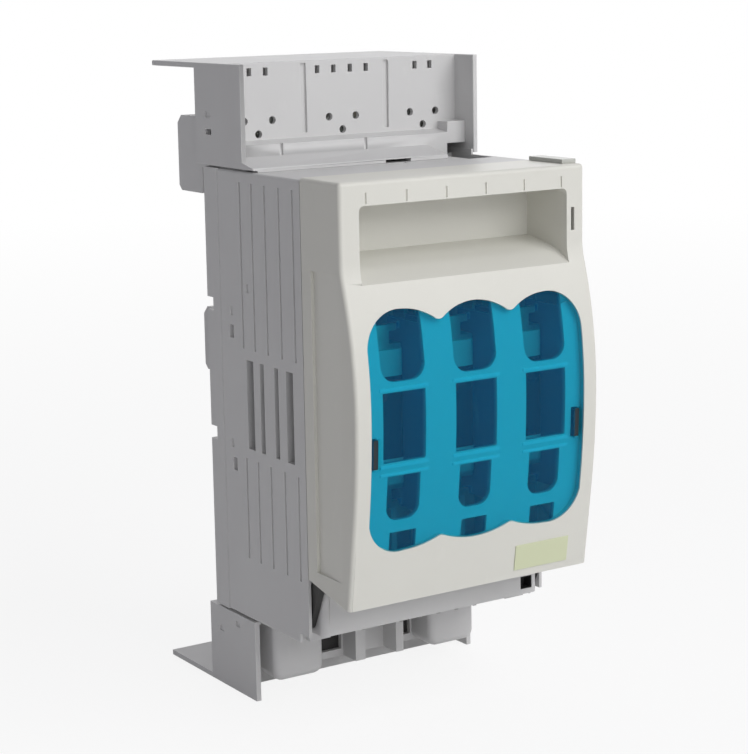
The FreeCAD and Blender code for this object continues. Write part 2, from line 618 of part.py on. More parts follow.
def busbar_adapter():
    """Rear plate with channels for the leads, hooks over the bars' upper edges and clamp guides."""
    plate = box(-HALF, HALF, BASE_BACK, 0.0, BASE_BOTTOM, BASE_TOP)
    plate = bevel_edges(plate, SEAM_CHAMFER, lambda c, e: along(e, "z") and c.y < BASE_BACK + 0.1)
    arm = box(HOOK_INNER, HOOK_OUTER, BASE_BACK + 2.0, 0.0, BASE_TOP - 5.0, HOOK_TOP)
    top_hook = hook(HOOK_INNER, HOOK_OUTER, HOOK_TOP, HOOK_LIP_LOW, HOOK_BACK, THROAT_TOP)
    mid_hook = hook(MID_HOOK_OUTER - MID_HOOK_WIDTH, MID_HOOK_OUTER, MID_HOOK_TOP, MID_HOOK_LOW,
                    MID_HOOK_BACK, BAR_HEIGHT / 2 + FIT)
    plate = fuse([plate] + both_sides(fuse([arm, top_hook])) + both_sides(mid_hook))
    cuts = []
    half = RAIL_HALF + RUN_GAP
    guide = CLAMP_HEIGHT / 2 + FIT
    for x, level in zip(POLES, BAR_LEVELS):
        axis = clamp_axis(level)
        cuts.append(box(x - half, x + half, BASE_BACK - OVER, -ADAPTER_SKIN,
                        level - PAD_HALF - PAD_TOE - RUN_GAP, BASE_TOP + OVER))
        cuts.append(box(x - half, x + half, -ADAPTER_SKIN - OVER, OVER,
                        level - PAD_HALF - RUN_GAP, level + PAD_HALF + RUN_GAP))
        cuts.append(box(x - CLAMP_HALF - FIT, x + CLAMP_HALF + FIT, BASE_BACK - OVER, OVER,
                        axis - guide, axis + guide))
    cuts += [rod_y(BASE_BACK - OVER, BASE_BACK + HOUSING_SCREW_DEPTH + 1.0, x, z, HOUSING_SCREW_R + SCREW_FIT)
             for x, z in SCREW_PLACES]
    for high, low in NOTCHES:
        cuts += both_sides(box(HALF - 13.0, HALF + OVER, -NOTCH_DEPTH, OVER, low, high))
    return plate.cut(cuts)


def busbar_clamp(x, level):
    """Clamp block: it slides front to back and pulls its lip against the bar's rear face."""
    axis = clamp_axis(level)
    low, high = axis - CLAMP_HEIGHT / 2, axis + CLAMP_HEIGHT / 2
    lip_front = BAR_THICK + FIT
    lip_back = lip_front + CLAMP_LIP
    lip_top = high + CLAMP_LIP_RISE
    profile = [(CLAMP_FRONT, low), (lip_back, low), (lip_back, lip_top),
               (lip_front + CLAMP_LIP_CHAMFER, lip_top), (lip_front, lip_top - CLAMP_LIP_CHAMFER),
               (lip_front, high), (CLAMP_FRONT, high)]
    block = side_prism(profile, x - CLAMP_HALF, x + CLAMP_HALF)
    return block.cut(rod_y(CLAMP_FRONT - OVER, lip_back + OVER, x, axis, CLAMP_SCREW_R + SCREW_FIT))


def clamp_screw(x, level):
    """Socket-head screw from the contact board back through the clamp."""
    axis = clamp_axis(level)
    front = BOARD_FRONT - CLAMP_HEAD
    screw = pan_screw(x, axis, BOARD_FRONT, CLAMP_HEAD_R, CLAMP_HEAD, CLAMP_SCREW_R,
                      BAR_THICK + CLAMP_LIP - BOARD_FRONT)
    return screw.cut(hexagon_y(front - OVER, front + SOCKET_DEPTH, x, axis, SOCKET_FLATS))


# Lid

def arc_after(start, heading, end):
    """The arc from start to end that leaves along the heading, with its heading at the end."""
    chord = end - start
    turn = math.atan2(chord.z, chord.y) - math.atan2(heading.z, heading.y)
    normal = V(0, chord.z, -chord.y)
    middle = start + chord * 0.5 + normal * (0.5 * math.tan(turn / 2))
    angle = math.atan2(chord.z, chord.y) + turn
    return Part.Arc(start, middle, end).toShape(), V(0, math.cos(angle), math.sin(angle))


def front_line(set_back):
    """The lid's bulged front: arcs that run into each other, then a straight lower part."""
    points = [V(0, LID_FRONT + set_back - bulge, z) for bulge, z in BULGE_POINTS]
    heading = V(0, 0, -1)
    edges = []
    for start, end in zip(points, points[1:]):
        arc, heading = arc_after(start, heading, end)
        edges.append(arc)
    fall = (LID_FRONT_LOW - points[-1].z) / heading.z
    last = points[-1] + heading * fall
    edges.append(Part.makeLine(points[-1], last))
    return edges, points[0], last


def lid_block(set_back, back, top, low_lift, half):
    """The solid behind the lid's front line, with a slanted lower edge raised by low_lift."""
    edges, first, last = front_line(set_back)
    corners = [last, V(0, back, LID_BACK_LOW + low_lift), V(0, back, top), V(0, first.y, top), first]
    edges += [Part.makeLine(a, b) for a, b in zip(corners, corners[1:])]
    face = Part.Face(Part.Wire(Part.__sortEdges__(edges)))
    face.translate(V(-half, 0, 0))
    return face.extrude(V(2 * half, 0, 0))


def window_outline(grow):
    """The window's edge in the front view: three humps above, three flatter humps below."""
    side = WINDOW_HALF + grow
    valley = POLE_PITCH / 2

    def point(x, z):
        return V(x, 0, z)

    def half_edge(s, crest, dip, shoulder):
        """One hump and a half, from the side to the middle hump's start, on side s."""
        reach = side - POLE_PITCH
        bend = point(s * (POLE_PITCH + 0.72 * reach), shoulder + 0.7 * (crest - shoulder))
        slope = point(s * (POLE_PITCH - 0.52 * valley), crest - 0.26 * (crest - dip))
        outer = Part.Arc(point(s * side, shoulder), bend, point(s * POLE_PITCH, crest))
        inner = Part.Arc(point(s * POLE_PITCH, crest), slope, point(s * valley, dip))
        return [outer.toShape(), inner.toShape()]

    edges = []
    for crest, dip, shoulder in ((WINDOW_CREST + grow, WINDOW_VALLEY + grow, WINDOW_SHOULDER),
                                 (WINDOW_LOW_CREST - grow, WINDOW_LOW_VALLEY - grow, WINDOW_LOW_SHOULDER)):
        edges += half_edge(-1, crest, dip, shoulder) + half_edge(1, crest, dip, shoulder)
        edges.append(Part.Arc(point(-valley, dip), point(0, crest), point(valley, dip)).toShape())
    for s in (-1, 1):
        edges.append(Part.makeLine(point(s * side, WINDOW_SHOULDER), point(s * side, WINDOW_LOW_SHOULDER)))
    return Part.Face(Part.Wire(Part.__sortEdges__(edges)))


def window_prism(grow):
    """The window's edge pulled from well in front of the lid to well behind its wall."""
    face = window_outline(grow)
    face.translate(V(0, LID_FRONT - 20, 0))
    prism = face.extrude(V(0, 35, 0))
    return round_edges(prism, VALLEY_ROUND, lambda c, e: (
        along(e, "y") and abs(abs(c.x) - POLE_PITCH / 2) < 0.1))


def recess_profile(wall, front):
    """The finger recess in the side view, grown by a wall, with its floor and rounded lower lip."""
    back = LID_FRONT + RECESS_DEPTH + wall
    lip = [(LID_FRONT + behind, RECESS_FLOOR - drop - wall) for behind, drop in RECESS_LIP]
    foot = [] if wall else [(front, lip[-1][1])]
    return [(front, RECESS_TOP + wall), (back, RECESS_TOP + wall),
            (back, RECESS_FLOOR + RECESS_BACK_RISE - wall)] + lip + foot


def recess_pocket():
    """The solid round the finger recess, inside the lid."""
    profile = recess_profile(RECESS_WALL, LID_FRONT + 0.5)
    half = RECESS_HALF + RECESS_WALL
    pocket = side_prism(profile, -half, half)
    roof = box(-half, half, LID_FRONT + 0.5, LID_BACK, RECESS_TOP, LID_TOP - 1.0)
    return fuse([pocket, roof]).common(lid_block(0.3, LID_BACK, LID_TOP, 0.0, HALF))


def recess_hollow():
    """What the finger recess takes away, with the undercut behind its grip bar."""
    hollow = side_prism(recess_profile(0.0, LID_FRONT - 15), -RECESS_HALF, RECESS_HALF)
    hollow = round_edges(hollow, 2.0, lambda c, e: along(e, "y") and c.z > RECESS_TOP - 0.1)
    undercut = box(-RECESS_HALF, RECESS_HALF, LID_FRONT + GRIP_THICK, LID_FRONT + RECESS_DEPTH,
                   RECESS_FLOOR + 3.0, RECESS_TOP + GRIP_UNDERCUT)
    return [hollow, undercut]


def side_relief():
    """The shallow wedge that sets the lid's side back below its shoulder, on the right."""
    rear, fore = LID_BACK - 6.0, LID_FRONT + 2.5
    plan = [(HALF + OVER, rear), (HALF - SIDE_RELIEF, rear), (HALF, fore), (HALF + OVER, fore)]
    return plan_prism(plan, LID_BACK_LOW + 4.0, RECESS_FLOOR - 4.0)


# Corners of the hinge arm's root and of its blade's upper end, measured from the lid's lower rear edge
ARM_ROOT = ((-18.0, 2.5), (-2.5, 12.5), (-2.5, 2.5), (-16.0, -2.0))
ARM_HEAD = ((-6.5, 0.0), (-2.5, 3.0))
ARM_LEAN = math.radians(20)


def hinge_arm():
    """Arm from the lid's lower corner down to the eye on the hinge pin, on the right."""
    reach_y, reach_z = HINGE_EYE_R * math.cos(ARM_LEAN), HINGE_EYE_R * math.sin(ARM_LEAN)
    head = [(LID_BACK + dy, LID_BACK_LOW + dz) for dy, dz in ARM_HEAD]
    foot = [(HINGE_Y + reach_y, HINGE_Z + reach_z), (HINGE_Y - reach_y, HINGE_Z - reach_z)]
    blade = side_prism(head + foot, ARM_INNER, ARM_OUTER)
    root = side_prism([(LID_BACK + dy, LID_BACK_LOW + dz) for dy, dz in ARM_ROOT], ARM_INNER, ARM_OUTER)
    eye = rod_x(ARM_INNER, ARM_OUTER, HINGE_Y, HINGE_Z, HINGE_EYE_R)
    bore = rod_x(ARM_INNER - OVER, ARM_OUTER + OVER, HINGE_Y, HINGE_Z, HINGE_PIN_R + FIT)
    return fuse([blade, root, eye]).cut(bore)


TONGUE_OUTER = HALF - BASE_WALL - 0.7
TONGUE_THICK = 2.0
TONGUE_FRONT = LID_BACK - 12.0
TONGUE_BACK = LID_BACK + 8.0
TONGUE_LEVELS = (RECESS_FLOOR + 1.5, RECESS_FLOOR + 11.5)
WEB = 2.0


def guide_tongue():
    """Tongue that enters the housing beside its wall when the lid closes, on the right."""
    low, high = TONGUE_LEVELS
    middle = (low + high) / 2
    tongue = box(TONGUE_OUTER - TONGUE_THICK, TONGUE_OUTER, TONGUE_FRONT, TONGUE_BACK, low, high)
    web = box(TONGUE_OUTER, HALF - 1.0, TONGUE_FRONT, LID_BACK - 2.0, middle - WEB / 2, middle + WEB / 2)
    return fuse([tongue, web])


TICKS = (HALF - 44.5, HALF - 27.6, HALF - 10.7)
TICK_WIDTH = 1.0
TICK_DEPTH = 0.5
TICK_LEVELS = (RECESS_TOP + 0.5, RECESS_TOP + 4.5)
SEAL_SLOT = (HALF - 6.0, HALF - 4.5)
SEAL_LEVELS = (RECESS_TOP - 15.6, RECESS_TOP - 7.1)
TAB_SPAN = (HALF - 7.0, HALF - 0.6)
TAB_FRONT = LID_FRONT + 4.0
TAB_BACK = LID_BACK - 1.5
TAB_RISE = 1.6


def lid_shell():
    """Moulded lid: bulged front, finger recess, window opening, hinge arms and guide tongues."""
    outer = lid_block(0.0, LID_BACK, LID_TOP, 0.0, HALF)
    outer = round_edges(outer, LID_EDGE_ROUND, lambda c, e: (
        abs(abs(c.x) - HALF) < 0.01 and (c.y < LID_FRONT + 0.5 or c.z > LID_TOP - 0.01)
        or along(e, "x") and c.y < LID_FRONT + 0.01 and c.z > LID_TOP - 0.01))
    inner = lid_block(LID_WALL, LID_BACK + OVER, LID_TOP - LID_WALL, LID_WALL, HALF - LID_WALL)
    tab = box(TAB_SPAN[0], TAB_SPAN[1], TAB_FRONT, TAB_BACK, LID_TOP - 1.0, LID_TOP + TAB_RISE)
    lid = fuse([outer.cut(inner), recess_pocket(), tab])
    lid = lid.cut(recess_hollow() + [window_prism(WINDOW_GAP)])
    lid = fuse([lid] + both_sides(hinge_arm()) + both_sides(guide_tongue()))
    cuts = both_sides(side_relief())
    cuts.append(box(SEAL_SLOT[0], SEAL_SLOT[1], LID_FRONT - 5.0, LID_FRONT + 4.0,
                    SEAL_LEVELS[0], SEAL_LEVELS[1]))
    for x in TICKS:
        cuts += both_sides(box(x - TICK_WIDTH / 2, x + TICK_WIDTH / 2,
                               LID_FRONT - OVER, LID_FRONT + TICK_DEPTH, TICK_LEVELS[0], TICK_LEVELS[1]))
    return lid.cut(cuts)


def curved_sheet(set_back, thick, half, low, high):
    """A sheet that follows the lid's front, this far behind it."""
    sheet = lid_block(set_back, LID_BACK, LID_TOP, 0.0, half)
    sheet = sheet.cut(lid_block(set_back + thick, LID_BACK + OVER, LID_TOP + OVER, -2.0, half + OVER))
    return sheet.common(box(-half, half, LID_FRONT - 20, LID_BACK, low, high))


def latch_slots():
    """The two upright slots that hold the window's latches."""
    return both_sides(box(LATCH_X - LATCH_WIDTH / 2, LATCH_X + LATCH_WIDTH / 2, LID_FRONT - 20, LID_BACK,
                          LATCH_LOW, LATCH_TOP))


def inspection_window():
    """Curved transparent window with a scalloped edge."""
    sheet = curved_sheet(WINDOW_INSET, WINDOW_THICK, HALF, WINDOW_LOW_CREST - 5.0, WINDOW_CREST + 5.0)
    return sheet.common(window_prism(0.0)).cut(latch_slots())


def window_latches():
    """Latches in the slots of the window and the carrier."""
    half = LATCH_WIDTH / 2 - RUN_GAP
    sheet = curved_sheet(LATCH_SET_BACK, LATCH_DEPTH, HALF, LATCH_LOW + RUN_GAP, LATCH_TOP - RUN_GAP)
    return both_sides(sheet.common(box(LATCH_X - half, LATCH_X + half, LID_FRONT - 20, LID_BACK,
                                       LATCH_LOW, LATCH_TOP)))


# Openings of the carrier onto each fuse-link: half width, bottom, top, radius of the lower corners
CARRIER_OPENINGS = ((FUSE_WIDTH / 2 - 1.2, 12.5, WINDOW_CREST - 2.0, 6.0),
                    (FUSE_WIDTH / 2 - 1.5, -16.0, 9.0, 0.8),
                    (FUSE_WIDTH / 3, -37.5, -21.0, 5.0),
                    (FUSE_WIDTH / 4 - 0.5, -47.5, -42.0, 2.0))


def rounded_slot(x, half, low, high, radius):
    """An upright opening with its lower corners rounded, cut front to back."""
    block = box(x - half, x + half, LID_FRONT - 20, LID_BACK - 10, low, high)
    return round_edges(block, radius, lambda c, e: along(e, "y") and c.z < low + 0.1)


def fuse_guides(x):
    """Walls beside a fuse-link and the lips that hook behind its grip lugs."""
    inner = FUSE_WIDTH / 2 + RUN_GAP
    lip_front = FUSE_FRONT + LUG_SET_BACK + LUG_THICK + 0.5
    solids = []
    for side in (-1, 1):
        near, far = sorted((x + side * inner, x + side * (inner + GUIDE_WALL)))
        solids.append(box(near, far, LID_FRONT - 15, GUIDE_BACK,
                          FUSE_LOW - GUIDE_REACH, FUSE_TOP + GUIDE_REACH))
        near, far = sorted((x + side * (inner + GUIDE_WALL / 2), x + side * (inner - LIP_WIDTH)))
        for low in (FUSE_TOP + LIP_LOW, FUSE_LOW - LUG_RISE):
            solids.append(box(near, far, lip_front, lip_front + LIP_THICK, low, low + LUG_RISE - LIP_LOW))
    return solids


def fuse_carrier():
    """Inner panel with openings onto each fuse-link, side guides and lug holders."""
    panel = curved_sheet(CARRIER_SET_BACK, CARRIER_THICK, CARRIER_HALF, CARRIER_LOW, CARRIER_TOP)
    region = lid_block(CARRIER_SET_BACK, LID_BACK, LID_TOP, 0.0, HALF)
    guides = [guide.common(region) for x in POLES for guide in fuse_guides(x)]
    openings = [rounded_slot(x, *opening) for x in POLES for opening in CARRIER_OPENINGS]
    return fuse([panel] + guides).cut(openings + latch_slots())


LABEL_SPAN = (18.7, 43.0)
LABEL_LOW = LID_FRONT_LOW + 3.0
LABEL_HEIGHT = 9.6
LABEL_THICK = 0.4


def label_plate():
    """Bare label plate at the lower right of the lid."""
    sheet = curved_sheet(-LABEL_THICK, LABEL_THICK, HALF, LABEL_LOW, LABEL_LOW + LABEL_HEIGHT)
    return sheet.common(box(LABEL_SPAN[0], LABEL_SPAN[1], LID_FRONT - 20, LID_BACK, LABEL_LOW,
                            LABEL_LOW + LABEL_HEIGHT))


def hinge_pins():
    """Headed pins, pushed outwards from the pockets under the ledge."""
    seat = PIN_POCKET - PIN_HEAD_PLAY
    shank = rod_x(seat, PIN_TIP, HINGE_Y, HINGE_Z, HINGE_PIN_R)
    head = rod_x(seat - PIN_HEAD, seat, HINGE_Y, HINGE_Z, PIN_HEAD_R)
    return both_sides(shank.fuse(head).removeSplitter())


# Fuse-links

def fuse_body(x):
    """Insulating body with rounded upright edges."""
    block = box(x - FUSE_WIDTH / 2, x + FUSE_WIDTH / 2, FUSE_FRONT, FUSE_FRONT + FUSE_DEPTH,
                FUSE_LOW + END_PLATE, FUSE_TOP - END_PLATE)
    return round_edges(block, 3.0, lambda c, e: along(e, "z"))


def fuse_end_plates(x):
    """Metal end plates, each with the T-shaped lug that a fuse handle takes hold of."""
    front = FUSE_FRONT + LUG_SET_BACK
    half = FUSE_WIDTH / 2 - 1.0
    plates = []
    for face, head in ((FUSE_TOP, 1), (FUSE_LOW, -1)):
        low, high = sorted((face, face - head * END_PLATE))
        plate = box(x - half, x + half, front, FUSE_FRONT + FUSE_DEPTH - LUG_SET_BACK, low, high)
        low, high = sorted((face, face + head * LUG_RISE))
        stem = box(x - LUG_STEM_HALF, x + LUG_STEM_HALF, front, front + LUG_THICK, low, high)
        low, high = sorted((face + head * (LUG_RISE - LUG_THICK), face + head * LUG_RISE))
        cross = box(x - LUG_CROSS_HALF, x + LUG_CROSS_HALF, front, front + LUG_THICK, low, high)
        plates.append(fuse([plate, stem, cross]))
    return plates


def fuse_blades(x):
    """Two knife blades with chamfered outer corners."""
    front = BLADE_BACK - BLADE_DEPTH
    blades = []
    for root, head in ((FUSE_TOP, 1), (FUSE_LOW, -1)):
        tip = root + head * BLADE_LENGTH
        shoulder = tip - head * BLADE_CHAMFER
        profile = [(front, root), (BLADE_BACK, root), (BLADE_BACK, shoulder),
                   (BLADE_BACK - BLADE_CHAMFER, tip), (front + BLADE_CHAMFER, tip), (front, shoulder)]
        blades.append(side_prism(profile, x - BLADE_THICK / 2, x + BLADE_THICK / 2))
    return blades


def fuse_indicator(x):
    """Small indicator button in the front of the fuse-link."""
    return rod_y(FUSE_FRONT - 1.2, FUSE_FRONT, x, FUSE_CENTRE_Z + 8.0, 2.0)


# Terminal covers

# Comb slots in the top edge: distance of each from the middle
COMB_SLOTS = (3.7, 10.9, PANEL_PITCH - 3.5, PANEL_PITCH + 3.5)
COMB_SLOT_HEIGHT = 5.0
COMB_SLOT_WIDTH = 2.0
TEST_HOLES = ((-6.0, 2.5), (0.0, -2.5), (6.0, 2.5))
TEST_HOLE_LEVEL = SLOPE_TOP + 4.6
TEST_HOLE_R = 1.5
FIELD_GROOVE = 2.4
FIELD_GROOVE_LOW = SLOPE_TOP + 1.7
SKIRT_GROOVES = (-32.6, 4.7)
SKIRT_GROOVE_WIDTH = 1.4
SKIRT_GROOVE_DEPTH = 1.0
CHEEK_SLOT_Y = -4.7
CHEEK_SLOT_HALF = (2.2, 1.0)
CHEEK_SLOTS = ((95.0, COVER_WALL + OVER), (101.5, 0.5))
LOW_DENTS = ((-3.3, -98.2), (-16.3, -93.4))
LOW_DENT_HALF = (1.5, 1.0)
PORT_MARGIN = 0.8


def cheek(front, z0, z1):
    """Side wall of a cover, on the right."""
    return box(HALF - COVER_WALL, HALF, front, CHEEK_BACK, z0, z1)


def top_skirt():
    """The upper cover's lower front: short slope, upright skirt, end pad and the shelf over the housing."""
    inner = HALF - COVER_WALL
    back = SKIRT_FRONT + COVER_WALL
    panel_back = PANEL_FRONT + COVER_WALL
    skirt = side_prism([(PANEL_FRONT, SLOPE_TOP), (SKIRT_FRONT, SLOPE_LOW), (SKIRT_FRONT, BASE_TOP),
                        (back, BASE_TOP), (back, SLOPE_LOW - SHELF_SKIN),
                        (panel_back, SLOPE_TOP - SHELF_SKIN), (panel_back, SLOPE_TOP)], -inner, SKIRT_RIGHT)
    pad = box(SKIRT_RIGHT, inner, SKIRT_FRONT, panel_back, SHELF_BACK_Z, PAD_TOP)
    pad = pad.cut(box(SKIRT_RIGHT + SHELF_SKIN, inner, back, panel_back + OVER,
                      SHELF_BACK_Z - OVER, PAD_TOP - SHELF_SKIN))
    shelf = side_prism([(SKIRT_FRONT, SHELF_BACK_Z), (SHELF_FRONT, SHELF_FRONT_Z), (SHELF_FRONT, BASE_TOP),
                        (SHELF_FRONT + SHELF_SKIN, BASE_TOP), (back, SHELF_BACK_Z - SHELF_SKIN),
                        (back, SHELF_BACK_Z)], -HALF, SHELF_RIGHT)
    end_profile = [(SKIRT_FRONT, SHELF_BACK_Z), (SHELF_FRONT, SHELF_FRONT_Z), (SHELF_FRONT, BASE_TOP),
                   (SKIRT_FRONT, BASE_TOP)]
    ends = [side_prism(end_profile, x, x + COVER_WALL) for x in (-HALF, SHELF_RIGHT - COVER_WALL)]
    return [skirt, pad, shelf] + ends


def top_terminal_cover():
    """Upper cover: cheeks, roof plate over the busbars, panel with test holes, skirt and shelf."""
    roof = box(-HALF, HALF, PANEL_FRONT, PLATE_BACK, COVER_TOP - COVER_WALL, COVER_TOP)
    panel = box(-HALF, HALF, PANEL_FRONT, PANEL_FRONT + COVER_WALL, SLOPE_TOP, COVER_TOP)
    cover = fuse([roof, panel] + top_skirt() + both_sides(cheek(CHEEK_FRONT, BASE_TOP, COVER_TOP)))
    front, back = PANEL_FRONT - OVER, PANEL_FRONT + COVER_WALL + OVER
    cuts = both_sides(box(HALF - COVER_WALL, HALF + OVER, SHELF_FRONT - OVER, CHEEK_BACK + OVER,
                          BASE_TOP - OVER, BASE_TOP + SEAM_GAP))
    for x in COMB_SLOTS:
        for middle in (FIELD_SHIFT - x, FIELD_SHIFT + x):
            cuts.append(box(middle - COMB_SLOT_WIDTH / 2, middle + COMB_SLOT_WIDTH / 2, front, back,
                            COVER_TOP - COMB_SLOT_HEIGHT, COVER_TOP - COVER_WALL))
    for field in (-PANEL_PITCH, 0.0, PANEL_PITCH):
        cuts += [rod_y(front, back, FIELD_SHIFT + field + dx, TEST_HOLE_LEVEL + dz, TEST_HOLE_R)
                 for dx, dz in TEST_HOLES]
    middle = PANEL_PITCH / 2
    cuts += both_sides(box(middle - FIELD_GROOVE / 2, middle + FIELD_GROOVE / 2, front, PANEL_FRONT + 1.0,
                           FIELD_GROOVE_LOW, COVER_TOP - 1.0))
    half = SKIRT_GROOVE_WIDTH / 2
    cuts += [box(x - half, x + half, SKIRT_FRONT - OVER, SKIRT_FRONT + SKIRT_GROOVE_DEPTH,
                 SHELF_BACK_Z, SLOPE_TOP) for x in SKIRT_GROOVES]
    half_y, half_z = CHEEK_SLOT_HALF
    for z, depth in CHEEK_SLOTS:
        cuts += both_sides(box(HALF - depth, HALF + OVER, CHEEK_SLOT_Y - half_y, CHEEK_SLOT_Y + half_y,
                               z - half_z, z + half_z))
    return cover.cut(cuts)


def comb_block():
    """Rounded block of the lower cover's comb, on the right."""
    block = box(BLOCK_SPAN[0], BLOCK_SPAN[1], COMB_FRONT, LOW_PANEL_FRONT + OVER, COMB_LOW, BASE_BOTTOM)
    block = round_edges(block, COMB_LOW_CORNER, lambda c, e: along(e, "y") and c.z < COMB_LOW + 0.1)
    return round_edges(block, COMB_CORNER, lambda c, e: along(e, "z") and c.y < COMB_FRONT + 0.1)


def bottom_terminal_cover():
    """Lower cover: cheeks, floor plate, rear screen, panel with two ports and the comb of blocks and ribs."""
    riser_back = LOW_PLATE_FRONT + COVER_WALL
    panel_back = LOW_PANEL_FRONT + COVER_WALL
    cheek_top = BASE_BOTTOM - SEAM_GAP
    floor = box(-HALF, HALF, LOW_PLATE_FRONT, PLATE_BACK, COVER_BOTTOM, COVER_BOTTOM + COVER_WALL)
    riser = box(-HALF, HALF, LOW_PLATE_FRONT, riser_back, COVER_BOTTOM, COMB_LOW)
    step = box(-HALF, HALF, LOW_PANEL_FRONT, riser_back, COMB_LOW, COMB_LOW + COVER_WALL)
    panel = box(-HALF, HALF, LOW_PANEL_FRONT, panel_back, COMB_LOW, BASE_BOTTOM)
    screen = box(-HALF, HALF, CHEEK_BACK - SCREEN_THICK, CHEEK_BACK, SCREEN_LOW, cheek_top)
    ribs = [box(x0, x1, CHEEK_FRONT, LOW_PANEL_FRONT + OVER, COMB_LOW, BASE_BOTTOM) for x0, x1 in LOW_RIBS]
    right_cheek = cheek(LOW_CHEEK_RIGHT, COVER_BOTTOM, cheek_top)
    left_cheek = cheek(CHEEK_FRONT, COVER_BOTTOM, cheek_top).mirror(V(0, 0, 0), V(1, 0, 0))
    walls = [floor, riser, step, panel, screen, right_cheek, left_cheek]
    cover = fuse(walls + both_sides(comb_block()) + ribs)
    exits = [box(x - CABLE_R, x + CABLE_R, CABLE_FRONT, CABLE_BACK, COVER_BOTTOM - OVER,
                 COVER_BOTTOM + COVER_WALL + OVER) for x in POLES]
    cuts = [round_edges(opening, CABLE_CORNER, lambda c, e: along(e, "z")) for opening in exits]
    cuts += both_sides(box(HALF - COVER_WALL, HALF + OVER, LOW_PANEL_FRONT - OVER, panel_back + OVER,
                           cheek_top, BASE_BOTTOM + OVER))
    ports = ((-BLOCK_SPAN[0], LOW_RIBS[0][0]), (LOW_RIBS[1][1], BLOCK_SPAN[0]))
    cuts += [box(x0 + PORT_MARGIN, x1 - PORT_MARGIN, LOW_PANEL_FRONT - OVER, panel_back + OVER,
                 COMB_LOW + COVER_WALL + PORT_MARGIN, BASE_BOTTOM - COVER_WALL) for x0, x1 in ports]
    for y, z in LOW_DENTS:
        cuts += both_sides(wall_window(y, z, LOW_DENT_HALF, DENT_DEPTH))
    return cover.cut(cuts)


save("base_housing", base_housing())
save("contact_board", contact_board())
save("pole_barriers", pole_barriers())
save("busbar_adapter", busbar_adapter())
for number, (pole_x, bar_level) in enumerate(zip(POLES, BAR_LEVELS), 1):
    save("upper_contact_%d" % number, upper_contact(pole_x, bar_level))
    save("lower_contact_%d" % number, lower_contact(pole_x, bar_level))
    save("feeder_bar_%d" % number, feeder_bar(pole_x, bar_level))
    save("busbar_clamp_%d" % number, busbar_clamp(pole_x, bar_level))
    save("clamp_screw_%d" % number, clamp_screw(pole_x, bar_level))
    save("fuse_body_%d" % number, fuse_body(pole_x))
    save("fuse_end_plates_%d" % number, fuse_end_plates(pole_x))
    save("fuse_blades_%d" % number, fuse_blades(pole_x))
    save("fuse_indicator_%d" % number, fuse_indicator(pole_x))
save("jaw_springs", jaw_springs())
save("contact_screws", contact_screws())
save("terminal_bolts", terminal_bolts())
save("terminal_washers", terminal_washers())
save("terminal_nuts", terminal_nuts())
save("housing_screws", housing_screws())
save("hinge_pins", hinge_pins())
save("lid_shell", lid_shell())
save("fuse_carrier", fuse_carrier())
save("inspection_window", inspection_window())
save("window_latches", window_latches())
save("label_plate", label_plate())
save("top_terminal_cover", top_terminal_cover())
save("bottom_terminal_cover", bottom_terminal_cover())
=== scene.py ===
# %% [markdown]
# A three-pole fuse switch disconnector on a busbar adapter, dressed in Blender.
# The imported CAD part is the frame: it gives the places, the sizes and what moves.
# Everything here is in metres, with X across the poles, -Y towards the lid and Z up.

# %% Load the frame
import json
import math

import bmesh
import bpy
from mathutils import Matrix, Vector
from mathutils.bvhtree import BVHTree


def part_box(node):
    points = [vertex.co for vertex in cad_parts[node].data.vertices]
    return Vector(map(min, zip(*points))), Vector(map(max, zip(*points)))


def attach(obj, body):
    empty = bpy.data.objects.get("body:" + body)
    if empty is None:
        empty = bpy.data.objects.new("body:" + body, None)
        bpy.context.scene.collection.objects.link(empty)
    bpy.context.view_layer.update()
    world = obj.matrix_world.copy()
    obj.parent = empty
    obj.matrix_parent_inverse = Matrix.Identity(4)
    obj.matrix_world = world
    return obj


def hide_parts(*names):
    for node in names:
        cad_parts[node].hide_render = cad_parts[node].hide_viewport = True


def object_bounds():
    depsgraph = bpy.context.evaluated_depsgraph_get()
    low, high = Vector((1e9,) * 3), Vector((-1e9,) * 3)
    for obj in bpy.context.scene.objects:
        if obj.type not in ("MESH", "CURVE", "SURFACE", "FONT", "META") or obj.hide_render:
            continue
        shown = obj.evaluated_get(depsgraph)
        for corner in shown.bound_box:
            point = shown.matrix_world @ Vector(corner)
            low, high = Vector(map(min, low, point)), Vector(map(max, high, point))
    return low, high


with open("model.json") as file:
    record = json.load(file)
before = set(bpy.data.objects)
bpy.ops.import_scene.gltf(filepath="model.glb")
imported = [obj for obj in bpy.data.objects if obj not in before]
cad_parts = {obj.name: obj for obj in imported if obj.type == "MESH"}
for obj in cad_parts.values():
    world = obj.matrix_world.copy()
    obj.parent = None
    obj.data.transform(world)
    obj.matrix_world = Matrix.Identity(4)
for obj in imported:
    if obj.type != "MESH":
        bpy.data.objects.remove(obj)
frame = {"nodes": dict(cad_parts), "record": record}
cad_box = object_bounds()
MM = 0.001

# %% [markdown]
# Poles and node families come up again and again, so they are named once. Overall sizes
# are read from the nodes' boxes. A place that no box gives is named where it is used.

# %% Names and sizes from the frame
NUMBERS = (1, 2, 3)
POLES_MM = (-31.0, 0.0, 31.0)
SLOT_OF = {part["node"]: part["material_slot"] for part in frame["record"]["subparts"]}
BODIES = frame["record"]["behaviour"]["bodies"]
BODY_OF = {node: body for body, nodes in BODIES.items() for node in nodes}


def family(stem):
    """The three nodes of one kind, one for each pole."""
    return [f"{stem}_{n}" for n in NUMBERS]


# The covers meet the housing's two ends, so their boxes give those levels in mm.
BASE_ENDS = (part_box("bottom_terminal_cover")[1].z / MM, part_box("top_terminal_cover")[0].z / MM)
print("housing from %.1f to %.1f mm" % BASE_ENDS)

